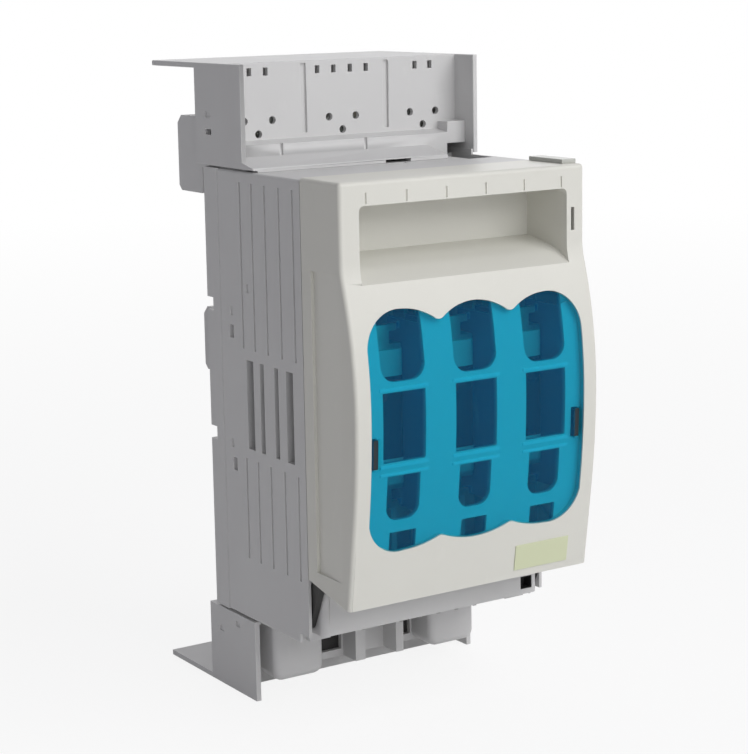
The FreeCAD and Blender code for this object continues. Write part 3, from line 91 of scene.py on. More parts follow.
# %% [markdown]
# Colours are written as sRGB hex, as a paint chart gives them, and turned to linear
# light by one function. One more function adds a node, sets it and links it.

# %% Colour and node helpers


def linear(hex_colour):
    """A hex sRGB colour as linear RGBA."""
    channels = [int(hex_colour[k:k + 2], 16) / 255 for k in (1, 3, 5)]
    return tuple(c / 12.92 if c <= 0.04045 else ((c + 0.055) / 1.055) ** 2.4 for c in channels) + (1.0,)


def add(tree, kind, inputs=None, **settings):
    """Add a node: settings are its attributes, inputs are values or sockets to link."""
    made = tree.nodes.new(kind)
    for key, value in settings.items():
        setattr(made, key, value)
    for key, value in (inputs or {}).items():
        if isinstance(value, bpy.types.NodeSocket):
            tree.links.new(value, made.inputs[key])
        else:
            made.inputs[key].default_value = value
    return made


def new_material(name):
    """An empty node material with its output."""
    material = bpy.data.materials.new(name)
    material.use_nodes = True
    material.node_tree.nodes.clear()
    return material, material.node_tree, material.node_tree.nodes.new("ShaderNodeOutputMaterial")


def per_metre(size_mm):
    """Pattern scale on Object coordinates for a feature of this size in millimetres."""
    return 1.0 / (size_mm * MM)


def blend(tree, share, first, second):
    """The socket of a colour between two others."""
    return add(tree, "ShaderNodeMix", {"Factor": share, "A": first, "B": second},
               data_type="RGBA").outputs["Result"]


def spread(tree, value, low, high):
    """The socket of a 0 to 1 value spread between two limits."""
    between = add(tree, "ShaderNodeMapRange", {"Value": value, "To Min": low, "To Max": high})
    return between.outputs["Result"]


# %% [markdown]
# Moulded thermoplastic, taken to come from a spark-eroded tool with a fine even grain.
# The colour drifts a little over some centimetres, as it does where the melt cooled at
# different speeds, and handled parts have faint lighter scuffs.
# A usual grain of 0.1 mm is too fine to show here, so it is drawn a little coarser.

# %% Moulded plastics
GRAIN_MM = 0.35
DRIFT_MM = 38.0
SCUFF_MM = 7.0
WORN_EDGE_MM = 0.7
# Name of the mesh attribute that marks where a moulding gets painted shade.
SHADE_BEHIND_PANEL = "painted_shade_behind_panel"


def edge_mask(tree, width_mm, strongest):
    """Strong on edges and 0 on flats: how far a widened edge's normal leans off the face's own."""
    wide = add(tree, "ShaderNodeBevel", {"Radius": width_mm * MM}, samples=4)
    own = add(tree, "ShaderNodeNewGeometry")
    alike = add(tree, "ShaderNodeVectorMath", {0: wide.outputs["Normal"], 1: own.outputs["Normal"]},
                operation="DOT_PRODUCT")
    return add(tree, "ShaderNodeMapRange", {
        "Value": alike.outputs["Value"], "From Min": 0.98, "From Max": 0.75, "To Max": strongest})


def moulded(name, colour, drift, scuff, roughness, grain_depth_mm=0.012, recess_shade=None):
    """Spark-textured moulded thermoplastic, with painted shade of another colour where the mesh attribute
    marks it, if given.
    """
    material, tree, output = new_material(name)
    place = add(tree, "ShaderNodeTexCoord").outputs["Object"]
    clouds = add(tree, "ShaderNodeTexNoise", {"Vector": place, "Scale": per_metre(DRIFT_MM), "Detail": 3.0})
    body = blend(tree, clouds.outputs["Fac"], linear(colour), linear(drift))
    # Painted shade: another colour where the mesh attribute marks a recess.
    if recess_shade:
        shade_mask = add(tree, "ShaderNodeAttribute", attribute_name=SHADE_BEHIND_PANEL)
        body = blend(tree, shade_mask.outputs["Fac"], body, linear(recess_shade))
    stretch = add(tree, "ShaderNodeMapping", {"Vector": place, "Scale": (1.0, 1.0, 0.35)})
    marks = add(tree, "ShaderNodeTexNoise", {
        "Vector": stretch.outputs["Vector"], "Scale": per_metre(SCUFF_MM), "Detail": 6.0, "Roughness": 0.7})
    mask = add(tree, "ShaderNodeMapRange", {
        "Value": marks.outputs["Fac"], "From Min": 0.60, "From Max": 0.78, "To Max": 0.22})
    rubbed = edge_mask(tree, WORN_EDGE_MM, 0.55)
    both = add(tree, "ShaderNodeMath", {0: mask.outputs["Result"], 1: rubbed.outputs["Result"]},
               operation="MAXIMUM")
    worn = blend(tree, both.outputs["Value"], body, linear(scuff))
    gloss = spread(tree, marks.outputs["Fac"], roughness - 0.06, roughness + 0.08)
    grain = add(tree, "ShaderNodeTexNoise", {"Vector": place, "Scale": per_metre(GRAIN_MM), "Detail": 2.0})
    bump = add(tree, "ShaderNodeBump", {"Height": grain.outputs["Fac"], "Strength": 0.5,
                                        "Distance": grain_depth_mm * MM})
    shader = add(tree, "ShaderNodeBsdfPrincipled", {
        "Base Color": worn, "Roughness": gloss, "IOR": 1.53, "Normal": bump.outputs["Normal"]})
    tree.links.new(shader.outputs["BSDF"], output.inputs["Surface"])
    return material


# Housing, adapter and covers: cool grey polyamide, left as it comes from the tool.
body_plastic = moulded("glass_filled_polyamide_moulded", "#d1d1d0", "#c9c8c8", "#dcdcda", 0.55)
# Lid: a warmer and smoother grey.
lid_plastic = moulded("polycarbonate_blend_moulded_satin", "#dcdbd3", "#d5d4cc", "#e6e5df", 0.45)
# Carrier: a pale panel with painted shade in blue-grey on the guides behind it, and polished light bars.
carrier_plastic = moulded("polycarbonate_moulded_painted_shade_inside", "#dfe3df", "#d6dad8", "#e8ebe8", 0.45,
                          recess_shade="#607c98")
bar_plastic = moulded("polycarbonate_bars_polished", "#f2f4f2", "#edefed", "#f6f7f6", 0.3)
# Window latches: navy, nearly black, as painted shade for the dark slots they fill.
latch_painted_shade = moulded("painted_shade_nearly_black", "#0c141c", "#0a1118", "#1a242d", 0.6)
# Hinge arms, the sheet behind the ports and the linings of small openings: black, as painted shade.
black_painted_shade = moulded("painted_shade_black", "#1c1b1b", "#171616", "#2a2929", 0.6)
# Locking tab: a harder and slicker grey.
tab_plastic = moulded("grey_acetal_moulded", "#c0c1bb", "#b8b9b3", "#cccdc8", 0.4)
print("plastics:", body_plastic.name, lid_plastic.name, carrier_plastic.name)

# %% [markdown]
# The window is clear polycarbonate dyed blue and polished. Light has to reach the panel
# behind it and come back, so it is a tinted Transparent shader with a little blue body
# colour and a polished coat mixed in. Each ray crosses two faces, front and back, so the
# tint is written for one face and shows twice.

# %% Blue polycarbonate


def blue_polycarbonate(name, tint, body, body_share):
    """Polished polycarbonate: tinted light goes through, and a share shows the dye itself."""
    material, tree, output = new_material(name)
    place = add(tree, "ShaderNodeTexCoord").outputs["Object"]
    flow = add(tree, "ShaderNodeTexNoise", {"Vector": place, "Scale": per_metre(26.0), "Detail": 2.0})
    clear = add(tree, "ShaderNodeBsdfTransparent", {"Color": linear(tint)})
    wave = add(tree, "ShaderNodeBump", {
        "Height": flow.outputs["Fac"], "Strength": 0.25, "Distance": 0.2 * MM})
    solid = add(tree, "ShaderNodeBsdfPrincipled", {
        "Base Color": linear(body), "Roughness": spread(tree, flow.outputs["Fac"], 0.06, 0.14), "IOR": 1.58,
        "Coat Weight": 0.25, "Coat Roughness": 0.06, "Normal": wave.outputs["Normal"]})
    both = add(tree, "ShaderNodeMixShader", {
        0: body_share, 1: clear.outputs["BSDF"], 2: solid.outputs["BSDF"]})
    tree.links.new(both.outputs["Shader"], output.inputs["Surface"])
    return material


window_plastic = blue_polycarbonate("blue_polycarbonate_polished", "#a4f1f9", "#107cb8", 0.125)
print("window:", window_plastic.name)

# %% [markdown]
# The photo doesn't show the metals clearly. The copper bars are taken to be silver-plated,
# which dulls to a warm grey, and the steel parts to be zinc plated and passivated: bright
# grey with cloudy patches of blue and straw.
# A metal keeps the default IOR, and its colour is what it reflects.

# %% Metals
BRUSH_STRETCH = (1.0, 1.0, 0.08)


def plated(name, bright, cloud, roughness, brush_mm, cloud_mm):
    """Plated metal: cloudy plating over the fine lines that rolling or turning left."""
    material, tree, output = new_material(name)
    place = add(tree, "ShaderNodeTexCoord").outputs["Object"]
    patches = add(tree, "ShaderNodeTexNoise", {
        "Vector": place, "Scale": per_metre(cloud_mm), "Detail": 4.0})
    colour = blend(tree, patches.outputs["Fac"], linear(bright), linear(cloud))
    drawn = add(tree, "ShaderNodeMapping", {"Vector": place, "Scale": BRUSH_STRETCH})
    lines = add(tree, "ShaderNodeTexNoise", {
        "Vector": drawn.outputs["Vector"], "Scale": per_metre(brush_mm), "Detail": 3.0})
    gloss = spread(tree, lines.outputs["Fac"], roughness - 0.08, roughness + 0.12)
    bump = add(tree, "ShaderNodeBump", {
        "Height": lines.outputs["Fac"], "Strength": 0.35, "Distance": 0.01 * MM})
    shader = add(tree, "ShaderNodeBsdfPrincipled", {
        "Base Color": colour, "Metallic": 1.0, "Roughness": gloss, "Normal": bump.outputs["Normal"]})
    tree.links.new(shader.outputs["BSDF"], output.inputs["Surface"])
    return material


silvered_copper = plated("silver_plated_copper_bar", "#d6d2c8", "#b9b09e", 0.34, 0.30, 9.0)
zinc_steel = plated("zinc_plated_steel_passivated", "#c4c9cf", "#b2b3a6", 0.36, 0.25, 4.0)
contact_metal = plated("silver_plated_brass_contact", "#dcdad2", "#bfb8a8", 0.30, 0.25, 6.0)
print("metals:", silvered_copper.name, zinc_steel.name, contact_metal.name)

# %% [markdown]
# The square openings look dark and the round ones lighter, so a fuse body is taken to be pale steatite with
# a band of painted shade round its middle, where it shows through the square openings. The photo doesn't
# settle it. Glaze pools unevenly, which gives soft gloss changes and tiny pits.

# %% Fuse ceramic, indicator and label
# Levels in mm of the band of painted shade on a fuse body.
PAINTED_BAND_LEVELS = (-18.6, 11.4)


def glazed(name, colour, second, roughness, pit_mm, shade_band_colour=None):
    """Glaze or lacquer with small pits, and a band of painted shade in another colour at the middle if
    given.
    """
    material, tree, output = new_material(name)
    place = add(tree, "ShaderNodeTexCoord").outputs["Object"]
    tone = add(tree, "ShaderNodeTexNoise", {"Vector": place, "Scale": per_metre(12.0), "Detail": 3.0})
    shade = blend(tree, tone.outputs["Fac"], linear(colour), linear(second))
    # Painted shade: a darker colour between two levels.
    if shade_band_colour:
        height = add(tree, "ShaderNodeSeparateXYZ", {"Vector": place})
        off_middle = add(tree, "ShaderNodeMath", {0: height.outputs["Z"], 1: sum(PAINTED_BAND_LEVELS) / 2 * MM},
                         operation="SUBTRACT")
        reach = (PAINTED_BAND_LEVELS[1] - PAINTED_BAND_LEVELS[0]) / 2 * MM
        in_band = add(tree, "ShaderNodeMath", {0: off_middle.outputs[0], 1: 0.0, 2: reach},
                      operation="COMPARE")
        shade = blend(tree, in_band.outputs[0], shade, linear(shade_band_colour))
    pits = add(tree, "ShaderNodeTexVoronoi", {"Vector": place, "Scale": per_metre(pit_mm)})
    depth = add(tree, "ShaderNodeMapRange", {"Value": pits.outputs["Distance"], "From Max": 0.25})
    bump = add(tree, "ShaderNodeBump", {
        "Height": depth.outputs["Result"], "Strength": 0.4, "Distance": 0.03 * MM})
    gloss = spread(tree, tone.outputs["Fac"], roughness, roughness + 0.15)
    shader = add(tree, "ShaderNodeBsdfPrincipled", {
        "Base Color": shade, "Roughness": gloss, "IOR": 1.52, "Normal": bump.outputs["Normal"]})
    tree.links.new(shader.outputs["BSDF"], output.inputs["Surface"])
    return material


# Pale steatite with a band of painted shade round its middle.
fuse_ceramic = glazed("pale_steatite_glazed", "#d8d8d2", "#c9cac6", 0.22, 2.2, shade_band_colour="#1c1e20")
red_lacquer = glazed("red_lacquered_brass", "#a5301f", "#8c2618", 0.30, 1.5)
label_film = moulded("cream_polyester_film", "#d3d8b6", "#ccd1ae", "#dfe3c6", 0.40, 0.006)
MATERIALS = {
    "grey_moulding": body_plastic,
    "lid_moulding": lid_plastic,
    "carrier_moulding": carrier_plastic,
    "latch_moulding": latch_painted_shade,
    "copper": silvered_copper,
    "zinc_steel": zinc_steel,
    "blue_window": window_plastic,
    "label": label_film,
    "fuse_ceramic": fuse_ceramic,
    "fuse_metal": contact_metal,
    "indicator": red_lacquer,
}
for node, piece in frame["nodes"].items():
    piece.data.materials.clear()
    piece.data.materials.append(MATERIALS[SLOT_OF[node]])
print("slots:", len(MATERIALS))

# %% [markdown]
# Some openings, notches and recesses are cut into copies of the nodes. Boxes do for all
# of them, and the exact Boolean keeps the skin closed. The helper objects are removed.

# %% Cutting boxes out of a mesh


def block_at(bm, low, high):
    """A block between two corners given in mm."""
    size = Vector(high) - Vector(low)
    middle = (Vector(high) + Vector(low)) / 2
    place = Matrix.Translation(middle * MM) @ Matrix.Diagonal(size * MM).to_4x4()
    return bmesh.ops.create_cube(bm, size=1.0, matrix=place)["verts"]


def carved(bm, boxes_mm):
    """The mesh with boxes, given by their corners in mm, cut out of it."""
    knife_bm = bmesh.new()
    for low, high in boxes_mm:
        block_at(knife_bm, low, high)
    shapes = []
    for source in (bm, knife_bm):
        mesh = bpy.data.meshes.new("carving")
        source.to_mesh(mesh)
        source.free()
        shapes.append(bpy.data.objects.new("carving", mesh))
        bpy.context.collection.objects.link(shapes[-1])
    body, knife = shapes
    cut = body.modifiers.new("cut", "BOOLEAN")
    cut.object = knife
    cut.operation = "DIFFERENCE"
    cut.solver = "EXACT"
    done = bmesh.new()
    done.from_object(body, bpy.context.evaluated_depsgraph_get())
    for shape in shapes:
        mesh = shape.data
        bpy.data.objects.remove(shape)
        bpy.data.meshes.remove(mesh)
    return done


print("cutting tools:", block_at.__name__, carved.__name__)

# %% [markdown]
# A moulding has no knife-sharp edge: each edge has a radius that lets the plastic flow
# and catches a thin line of light. The CAD nodes stay as they are. A copy of a node is
# merged, its flat stretches are joined into single faces, and its sharp edges get a
# bevel. The copy then stands for the node.

# %% Copies with rounded edges
# Shading breaks at edges beyond the first angle, and bevels go on edges beyond the second.
SHARP_DEGREES = 32
CORNER_DEGREES = 40
# Faces closer in direction than this are joined, and so are corners closer than this.
FLAT_DEGREES = 0.4
MERGE_MM = 0.002
MOULD_ROUND_MM = 0.3
ADAPTER_ROUND_MM = 0.4
FINE_ROUND_MM = 0.25
LONG_EDGE_MM = 3.0


def finish_piece(bm, name, body, slot, replaced=(), material=None):
    """Turn a bmesh into a piece that rides on a body and stands for the replaced nodes."""
    mesh = bpy.data.meshes.new(name)
    bm.to_mesh(mesh)
    bm.free()
    mesh.materials.append(material or MATERIALS[slot])
    piece = bpy.data.objects.new(name, mesh)
    bpy.context.collection.objects.link(piece)
    for polygon in mesh.polygons:
        polygon.use_smooth = True
    mesh.set_sharp_from_angle(angle=math.radians(SHARP_DEGREES))
    even = piece.modifiers.new("even_normals", "WEIGHTED_NORMAL")
    even.mode = "FACE_AREA"
    even.keep_sharp = True
    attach(piece, body)
    if replaced:
        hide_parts(*replaced)
    return piece


def merged_copy(node, boxes_mm=()):
    """The node's mesh as one skin: doubles merged, boxes cut out and flat stretches joined."""
    bm = bmesh.new()
    bm.from_mesh(frame["nodes"][node].data)
    bmesh.ops.remove_doubles(bm, verts=bm.verts, dist=MERGE_MM * MM)
    if boxes_mm:
        bm = carved(bm, boxes_mm)
    bmesh.ops.dissolve_limit(bm, angle_limit=math.radians(FLAT_DEGREES), verts=bm.verts, edges=bm.edges)
    return bm


def round_edges(bm, edges, width_mm, segments):
    """Bevel these edges round."""
    bmesh.ops.bevel(bm, geom=edges, offset=width_mm * MM, offset_type="OFFSET", segments=segments,
                    profile=0.5, affect="EDGES", clamp_overlap=True, material=-1)


def bevel_sharp(bm, width_mm, least_mm):
    """Bevel the sharp outer edges of this length or more, and tell edges and face counts."""
    chosen = []
    for edge in bm.edges:
        if len(edge.link_faces) != 2 or not edge.is_convex or edge.calc_length() < least_mm * MM:
            continue
        if edge.calc_face_angle() < math.radians(CORNER_DEGREES):
            continue
        chosen.append(edge)
    before = len(bm.faces)
    round_edges(bm, chosen, width_mm, 3)
    return len(chosen), before, len(bm.faces)


def rounded_copy(node, width_mm, least_mm, name):
    """A rounded copy of one node, standing for it."""
    bm = merged_copy(node)
    told = bevel_sharp(bm, width_mm, least_mm)
    print(name, "edges, faces before, faces after:", told)
    return finish_piece(bm, name, BODY_OF[node], SLOT_OF[node], (node,))


rounded_copy("base_housing", MOULD_ROUND_MM, LONG_EDGE_MM, "housing")
rounded_copy("bottom_terminal_cover", MOULD_ROUND_MM, LONG_EDGE_MM, "lower_cover")
rounded_copy("busbar_adapter", ADAPTER_ROUND_MM, LONG_EDGE_MM, "adapter")
rounded_copy("inspection_window", FINE_ROUND_MM, 1.0, "window_pane")

# %% [markdown]
# The lid is one CAD solid, but two of its parts have a finish of their own: the hinge arms at its foot,
# black as painted shade in their slots, and the grey locking tab on its top. They could be painted by a
# mask. Cutting them off along a plane is cleaner, and each stays a closed body.

# %% Lid, hinge arms and locking tab
ON_PLANE_MM = 0.001
LID_EDGE_MM = 1.5


def cut_along(bm, place, normal, keep_beyond):
    """Keep what lies on one side of a plane and close the cut."""
    whole = bm.verts[:] + bm.edges[:] + bm.faces[:]
    cut = bmesh.ops.bisect_plane(bm, geom=whole, dist=ON_PLANE_MM * MM, plane_co=place, plane_no=normal,
                                 clear_inner=keep_beyond, clear_outer=not keep_beyond)
    rim = [item for item in cut["geom_cut"] if isinstance(item, bmesh.types.BMEdge)]
    bmesh.ops.triangle_fill(bm, edges=rim, use_beauty=True)
    bmesh.ops.recalc_face_normals(bm, faces=bm.faces)
    return len(rim)


LID_ROUND_MM = 0.4
LID_TOP_MM = 82.55
LID_FOOT = (Vector((0.0, -70.0, -62.9)), Vector((0.0, -95.5, -68.6)))
UP = Vector((0.0, 0.0, 1.0))
foot_run = LID_FOOT[1] - LID_FOOT[0]
DOWN = Vector((0.0, -foot_run.z, foot_run.y))


def part_of_lid(name, slot, width_mm, cuts, replaced=(), material=None):
    """A rounded piece of the lid: each cut is a plane and whether the far side stays."""
    bm = merged_copy("lid_shell")
    rims = [cut_along(bm, place * MM, normal, beyond) for place, normal, beyond in cuts]
    told = bevel_sharp(bm, width_mm, LID_EDGE_MM)
    print(name, "cut edges:", rims, "edges, faces before, faces after:", told)
    return finish_piece(bm, name, "lid", slot, replaced, material)


tab_plane = (Vector((0.0, 0.0, LID_TOP_MM)), UP)
foot_plane = (LID_FOOT[0], DOWN)
between = [tab_plane + (False,), foot_plane + (False,)]
part_of_lid("lid", "lid_moulding", LID_ROUND_MM, between, ("lid_shell",))
part_of_lid("locking_tab", "grey_moulding", FINE_ROUND_MM, [tab_plane + (True,)], material=tab_plastic)
# The hinge arms are black, as painted shade in their slots.
part_of_lid("hinge_arms", "latch_moulding", FINE_ROUND_MM, [foot_plane + (True,)], material=black_painted_shade)

# %% [markdown]
# Behind the window the carrier's upper openings run right up to the window's scalloped
# edge, and the small ones at its foot run down to it, so both look dark there. The CAD
# openings stop a little short, so the copy is carved on with boxes before it is rounded.

# %% Carrier with its openings run out to the window's edge
LID_DEPTH_MM = (-110.0, -60.0)
NOTCH = (-9.3, 9.3)
NOTCH_LEVELS = (34.0, 39.0)
FOOT_SLOT = (-4.9, 6.4)
FOOT_LEVELS = (-50.5, -41.9)


def through_carrier(x, sides, levels):
    """Corners of a box that goes right through the carrier at one pole."""
    return ((x + sides[0], LID_DEPTH_MM[0], levels[0]), (x + sides[1], LID_DEPTH_MM[1], levels[1]))


notches = [through_carrier(x, NOTCH, NOTCH_LEVELS) for x in POLES_MM]
notches += [through_carrier(x, FOOT_SLOT, FOOT_LEVELS) for x in POLES_MM]
bm = carved(merged_copy("fuse_carrier"), notches)
told = bevel_sharp(bm, FINE_ROUND_MM, LONG_EDGE_MM)
carrier = finish_piece(bm, "carrier", "lid", "carrier_moulding", ("fuse_carrier",))
print("carrier edges, faces before, faces after:", told)

# %% [markdown]
# The photo shows a short dark line at the foot of the upper cover's front, a little right
# of the middle. It is taken to be a notch for prising the cover off. Its depth is a guess.

# %% Upper cover with its notch
COVER_NOTCH = ((4.6, -38.5, 80.0), (16.0, -33.0, 83.1))
bm = merged_copy("top_terminal_cover", [COVER_NOTCH])
told = bevel_sharp(bm, MOULD_ROUND_MM, LONG_EDGE_MM)
finish_piece(bm, "upper_cover", "top_cover", "grey_moulding", ("top_terminal_cover",))
print("upper cover edges, faces before, faces after:", told)

# %% [markdown]
# The openings look darker than a pale carrier would, so the carrier is pale and the guides behind its panel
# are blue-grey: painted shade. The guides' colour was set by comparing renders with the photo.
# A ray between two poles finds the panel's front, and the mesh's own attribute marks each corner that lies
# well behind it for the painted shade. The material reads that attribute.

# %% Painted shade behind the panel
BETWEEN_POLES = 15.5
PALE_DEPTH = 1.0
PANEL_LEVELS = (-52.0, 41.5)
corners = [vertex.co for vertex in carrier.data.vertices]
panel = BVHTree.FromPolygons(corners, [polygon.vertices for polygon in carrier.data.polygons])


def panel_front(x, z):
    """Where a ray from the front meets the carrier, in mm."""
    start = Vector((x, 2 * LID_DEPTH_MM[0], z)) * MM
    return panel.ray_cast(start, Vector((0.0, 1.0, 0.0)))[0].y / MM


# Each corner well behind the panel's front is marked for the painted shade.
recess_shade = carrier.data.attributes.new(SHADE_BEHIND_PANEL, "FLOAT", "POINT")
behind = 0
for vertex, value in zip(carrier.data.vertices, recess_shade.data):
    level = min(max(vertex.co.z / MM, PANEL_LEVELS[0]), PANEL_LEVELS[1])
    value.value = float(vertex.co.y / MM - panel_front(BETWEEN_POLES, level) > PALE_DEPTH)
    behind += value.value
print("corners behind the panel:", int(behind), "of", len(recess_shade.data))

# %% [markdown]
# Thin bars stand on the carrier above and below each fuse opening and show as light
# lines through the window. The panel is bowed, so each bar is set on it by a ray that
# finds the panel's front at the bar's height.

# %% Light bars on the carrier
BAR_HALF = 10.3
BAR_RISE = 0.45
BAR_SINK = 0.4
BAR_ROUND = 0.15
BAR_LEVELS = ((9.6, 10.8), (-17.8, -16.6), (-20.6, -19.6))
bars = bmesh.new()
for x in POLES_MM:
    for low, high in BAR_LEVELS:
        front = panel_front(x + BAR_HALF, (low + high) / 2)
        block_at(bars, (x - BAR_HALF, front - BAR_RISE, low), (x + BAR_HALF, front + BAR_SINK, high))
round_edges(bars, bars.edges[:], BAR_ROUND, 2)
finish_piece(bars, "carrier_bars", "lid", "carrier_moulding", material=bar_plastic)
print("bars:", len(POLES_MM) * len(BAR_LEVELS))

# %% [markdown]
# In the photo no light comes through the covers' slots, ports and seams, and the lid's seal slot is dark.
# What is behind them can't be seen. These sheets stand in for it: a baffle behind the slots, a black sheet
# of painted shade behind the ports, a tongue inside each cheek and a black block of painted shade in the
# seal slot. Their corners are round.

# %% Baffle, painted shade behind the ports, seam tongues and painted shade in the seal slot


def sheets(name, body, slot, boxes_mm, corner_mm, material=None):
    """Thin sheets with their corners rounded, as one piece."""
    bm = bmesh.new()
    for low, high in boxes_mm:
        thin = min(range(3), key=lambda k: high[k] - low[k])
        half_thick = 0.5 * (high[thin] - low[thin]) * MM
        verts = block_at(bm, low, high)
        edges = {edge for vert in verts for edge in vert.link_edges}
        across = [edge for edge in edges
                  if abs((edge.verts[0].co - edge.verts[1].co)[thin]) > half_thick]
        round_edges(bm, across, corner_mm, 4)
    print(name, "sheets:", len(boxes_mm))
    return finish_piece(bm, name, body, slot, material=material)


SLOT_BAFFLE = ((-50.8, -13.2, 106.8), (50.8, -12.2, 118.6))
# A black sheet of painted shade behind the ports.
PORT_SHADE_SHEET = ((-26.0, -17.98, -111.3), (26.0, -17.7, -89.0))
sheets("slot_baffle", "top_cover", "grey_moulding", [SLOT_BAFFLE], 0.8)
sheets("port_painted_shade", "bottom_cover", "latch_moulding", [PORT_SHADE_SHEET], 1.0, black_painted_shade)

TONGUE_X = (50.1, 50.9)
TONGUE_Y = (-29.2, -8.6)
TONGUE_DEEP = 2.2
TONGUE_GAP = 0.05
TONGUES = {
    "upper": ("top_cover", BASE_ENDS[1] + TONGUE_GAP, BASE_ENDS[1] + TONGUE_DEEP),
    "lower": ("bottom_cover", BASE_ENDS[0] - TONGUE_DEEP, BASE_ENDS[0] - TONGUE_GAP),
}
for word, (body, low, high) in TONGUES.items():
    strips = []
    for side in (-1, 1):
        left, right = sorted(side * x for x in TONGUE_X)
        strips.append(((left, TONGUE_Y[0], low), (right, TONGUE_Y[1], high)))
    sheets(word + "_seam_tongues", body, "grey_moulding", strips, 0.4)

# A black block of painted shade in the seal slot.
SEAL_SLOT_SHADE = ((47.03, -94.2, 58.0), (48.47, -92.0, 66.2))
sheets("seal_slot_painted_shade", "lid", "latch_moulding", [SEAL_SLOT_SHADE], 0.2, black_painted_shade)

# %% [markdown]
# The metal and the fuse-links get the same treatment with finer edges: sheared copper
# keeps a small roll-over, and a ceramic body is cast with a clear radius. The numbers
# are bevel widths in mm.

# %% Metal and fuse-links with softened edges
FINE_EDGE_MM = 0.8
FINE_COPIES = {"contact_board": 0.3, "pole_barriers": 0.3, "terminal_bolts": 0.25, "terminal_nuts": 0.25,
               "terminal_washers": 0.15, "jaw_springs": 0.12, "window_latches": 0.2, "label_plate": 0.1}
FINE_FAMILIES = {"upper_contact": 0.2, "lower_contact": 0.2, "feeder_bar": 0.2, "busbar_clamp": 0.3,
                 "fuse_body": 0.4, "fuse_end_plates": 0.2, "fuse_blades": 0.15, "fuse_indicator": 0.1}
for stem, width in FINE_FAMILIES.items():
    FINE_COPIES.update({node: width for node in family(stem)})
for node, width in FINE_COPIES.items():
    rounded_copy(node, width, FINE_EDGE_MM, node + "_rounded")

# %% [markdown]
# No screw head can be made out in the photo. The screws are taken to be driven from the
# front by a cross-head driver. The cross is cut into each head of a node: the heads are
# found as the separate shells of its mesh. Span, width and depth of a cross are shares of
# the head's radius and height.

# %% Cross recesses in the screw heads
CROSS_SPAN = 0.55
CROSS_WIDTH = 0.18
CROSS_DEPTH = 0.55


def shells(bm):
    """Corner boxes, in mm, of the separate shells of a mesh."""
    left = set(bm.verts)
    found = []
    while left:
        to_visit = [left.pop()]
        shell = set(to_visit)
        while to_visit:
            vert = to_visit.pop()
            for edge in vert.link_edges:
                other = edge.other_vert(vert)
                if other in left:
                    left.discard(other)
                    shell.add(other)
                    to_visit.append(other)
        places = [vert.co / MM for vert in shell]
        found.append([Vector([choose(place[k] for place in places) for k in range(3)])
                      for choose in (min, max)])
    return found


def cross_headed(node, head_mm):
    """A copy of a screw node with a cross cut into each head of this height."""
    bm = merged_copy(node)
    cuts = []
    for low, high in shells(bm):
        middle = (low + high) / 2
        radius = (high.x - low.x) / 2
        floor_y = low.y + CROSS_DEPTH * head_mm
        for half_x, half_z in ((CROSS_SPAN, CROSS_WIDTH), (CROSS_WIDTH, CROSS_SPAN)):
            reach = Vector((half_x * radius, 0.0, half_z * radius))
            near = middle - reach
            far = middle + reach
            cuts.append(((near.x, low.y - 1.0, near.z), (far.x, floor_y, far.z)))
    for along in (0, 1):
        bm = carved(bm, cuts[along::2])
    print(node, "crosses:", len(cuts) // 2, "faces:", len(bm.faces))
    return finish_piece(bm, node + "_cross_headed", BODY_OF[node], SLOT_OF[node], (node,))


CROSS_HEADS = {"contact_screws": 2.4, "housing_screws": 2.0}
CROSS_HEADS.update({node: 2.4 for node in family("clamp_screw")})
for node, head in CROSS_HEADS.items():
    cross_headed(node, head)

# %% [markdown]
# The pocket at the right end of the ledge is a dark hole in the photo. A black lining of painted shade,
# open in front, makes it as dark. It stands in for what can't be seen.

# %% Painted shade lining the ledge's pocket
POCKET_X = (40.4, 45.8)
POCKET_Y = (-72.3, -67.6)
POCKET_Z = (-82.5, -77.5)
LINER = 0.35
PLAY = 0.03
# A black lining of painted shade.
bm = bmesh.new()
block_at(bm, (POCKET_X[0] + PLAY, POCKET_Y[0], POCKET_Z[0] + PLAY),
         (POCKET_X[1] - PLAY, POCKET_Y[1], POCKET_Z[1] - PLAY))
mouth = [face for face in bm.faces if face.normal.y < -0.9]
bmesh.ops.inset_region(bm, faces=mouth, thickness=LINER * MM)
pushed = bmesh.ops.extrude_face_region(bm, geom=mouth)
floor_verts = [item for item in pushed["geom"] if isinstance(item, bmesh.types.BMVert)]
hollow = POCKET_Y[1] - POCKET_Y[0] - LINER
bmesh.ops.translate(bm, verts=floor_verts, vec=(0.0, hollow * MM, 0.0))
bmesh.ops.delete(bm, geom=[face for face in mouth if face.is_valid], context="FACES_ONLY")
finish_piece(bm, "pocket_painted_shade", "base", "latch_moulding", material=black_painted_shade)
print("pocket painted shade, %.2f mm deep" % hollow)

# %% [markdown]
# The camera stands where the photographer's did: in front of the lid, to the left and a
# little above, so that the left side shows. Its place and turn come from the straight
# edges of the object in the photo. A long lens keeps the edges nearly parallel.

# %% Camera
CAMERA_PLACE = Vector((-0.42046, -0.68316, 0.15115))
CAMERA_RIGHT = Vector((0.83748, -0.5462, -0.01723))
CAMERA_UP = Vector((0.10863, 0.1355, 0.9848))
PHOTO_HEIGHT = 754
FOCAL_PIXELS = 2055.994
AXIS_ABOVE_MIDDLE = 40.0

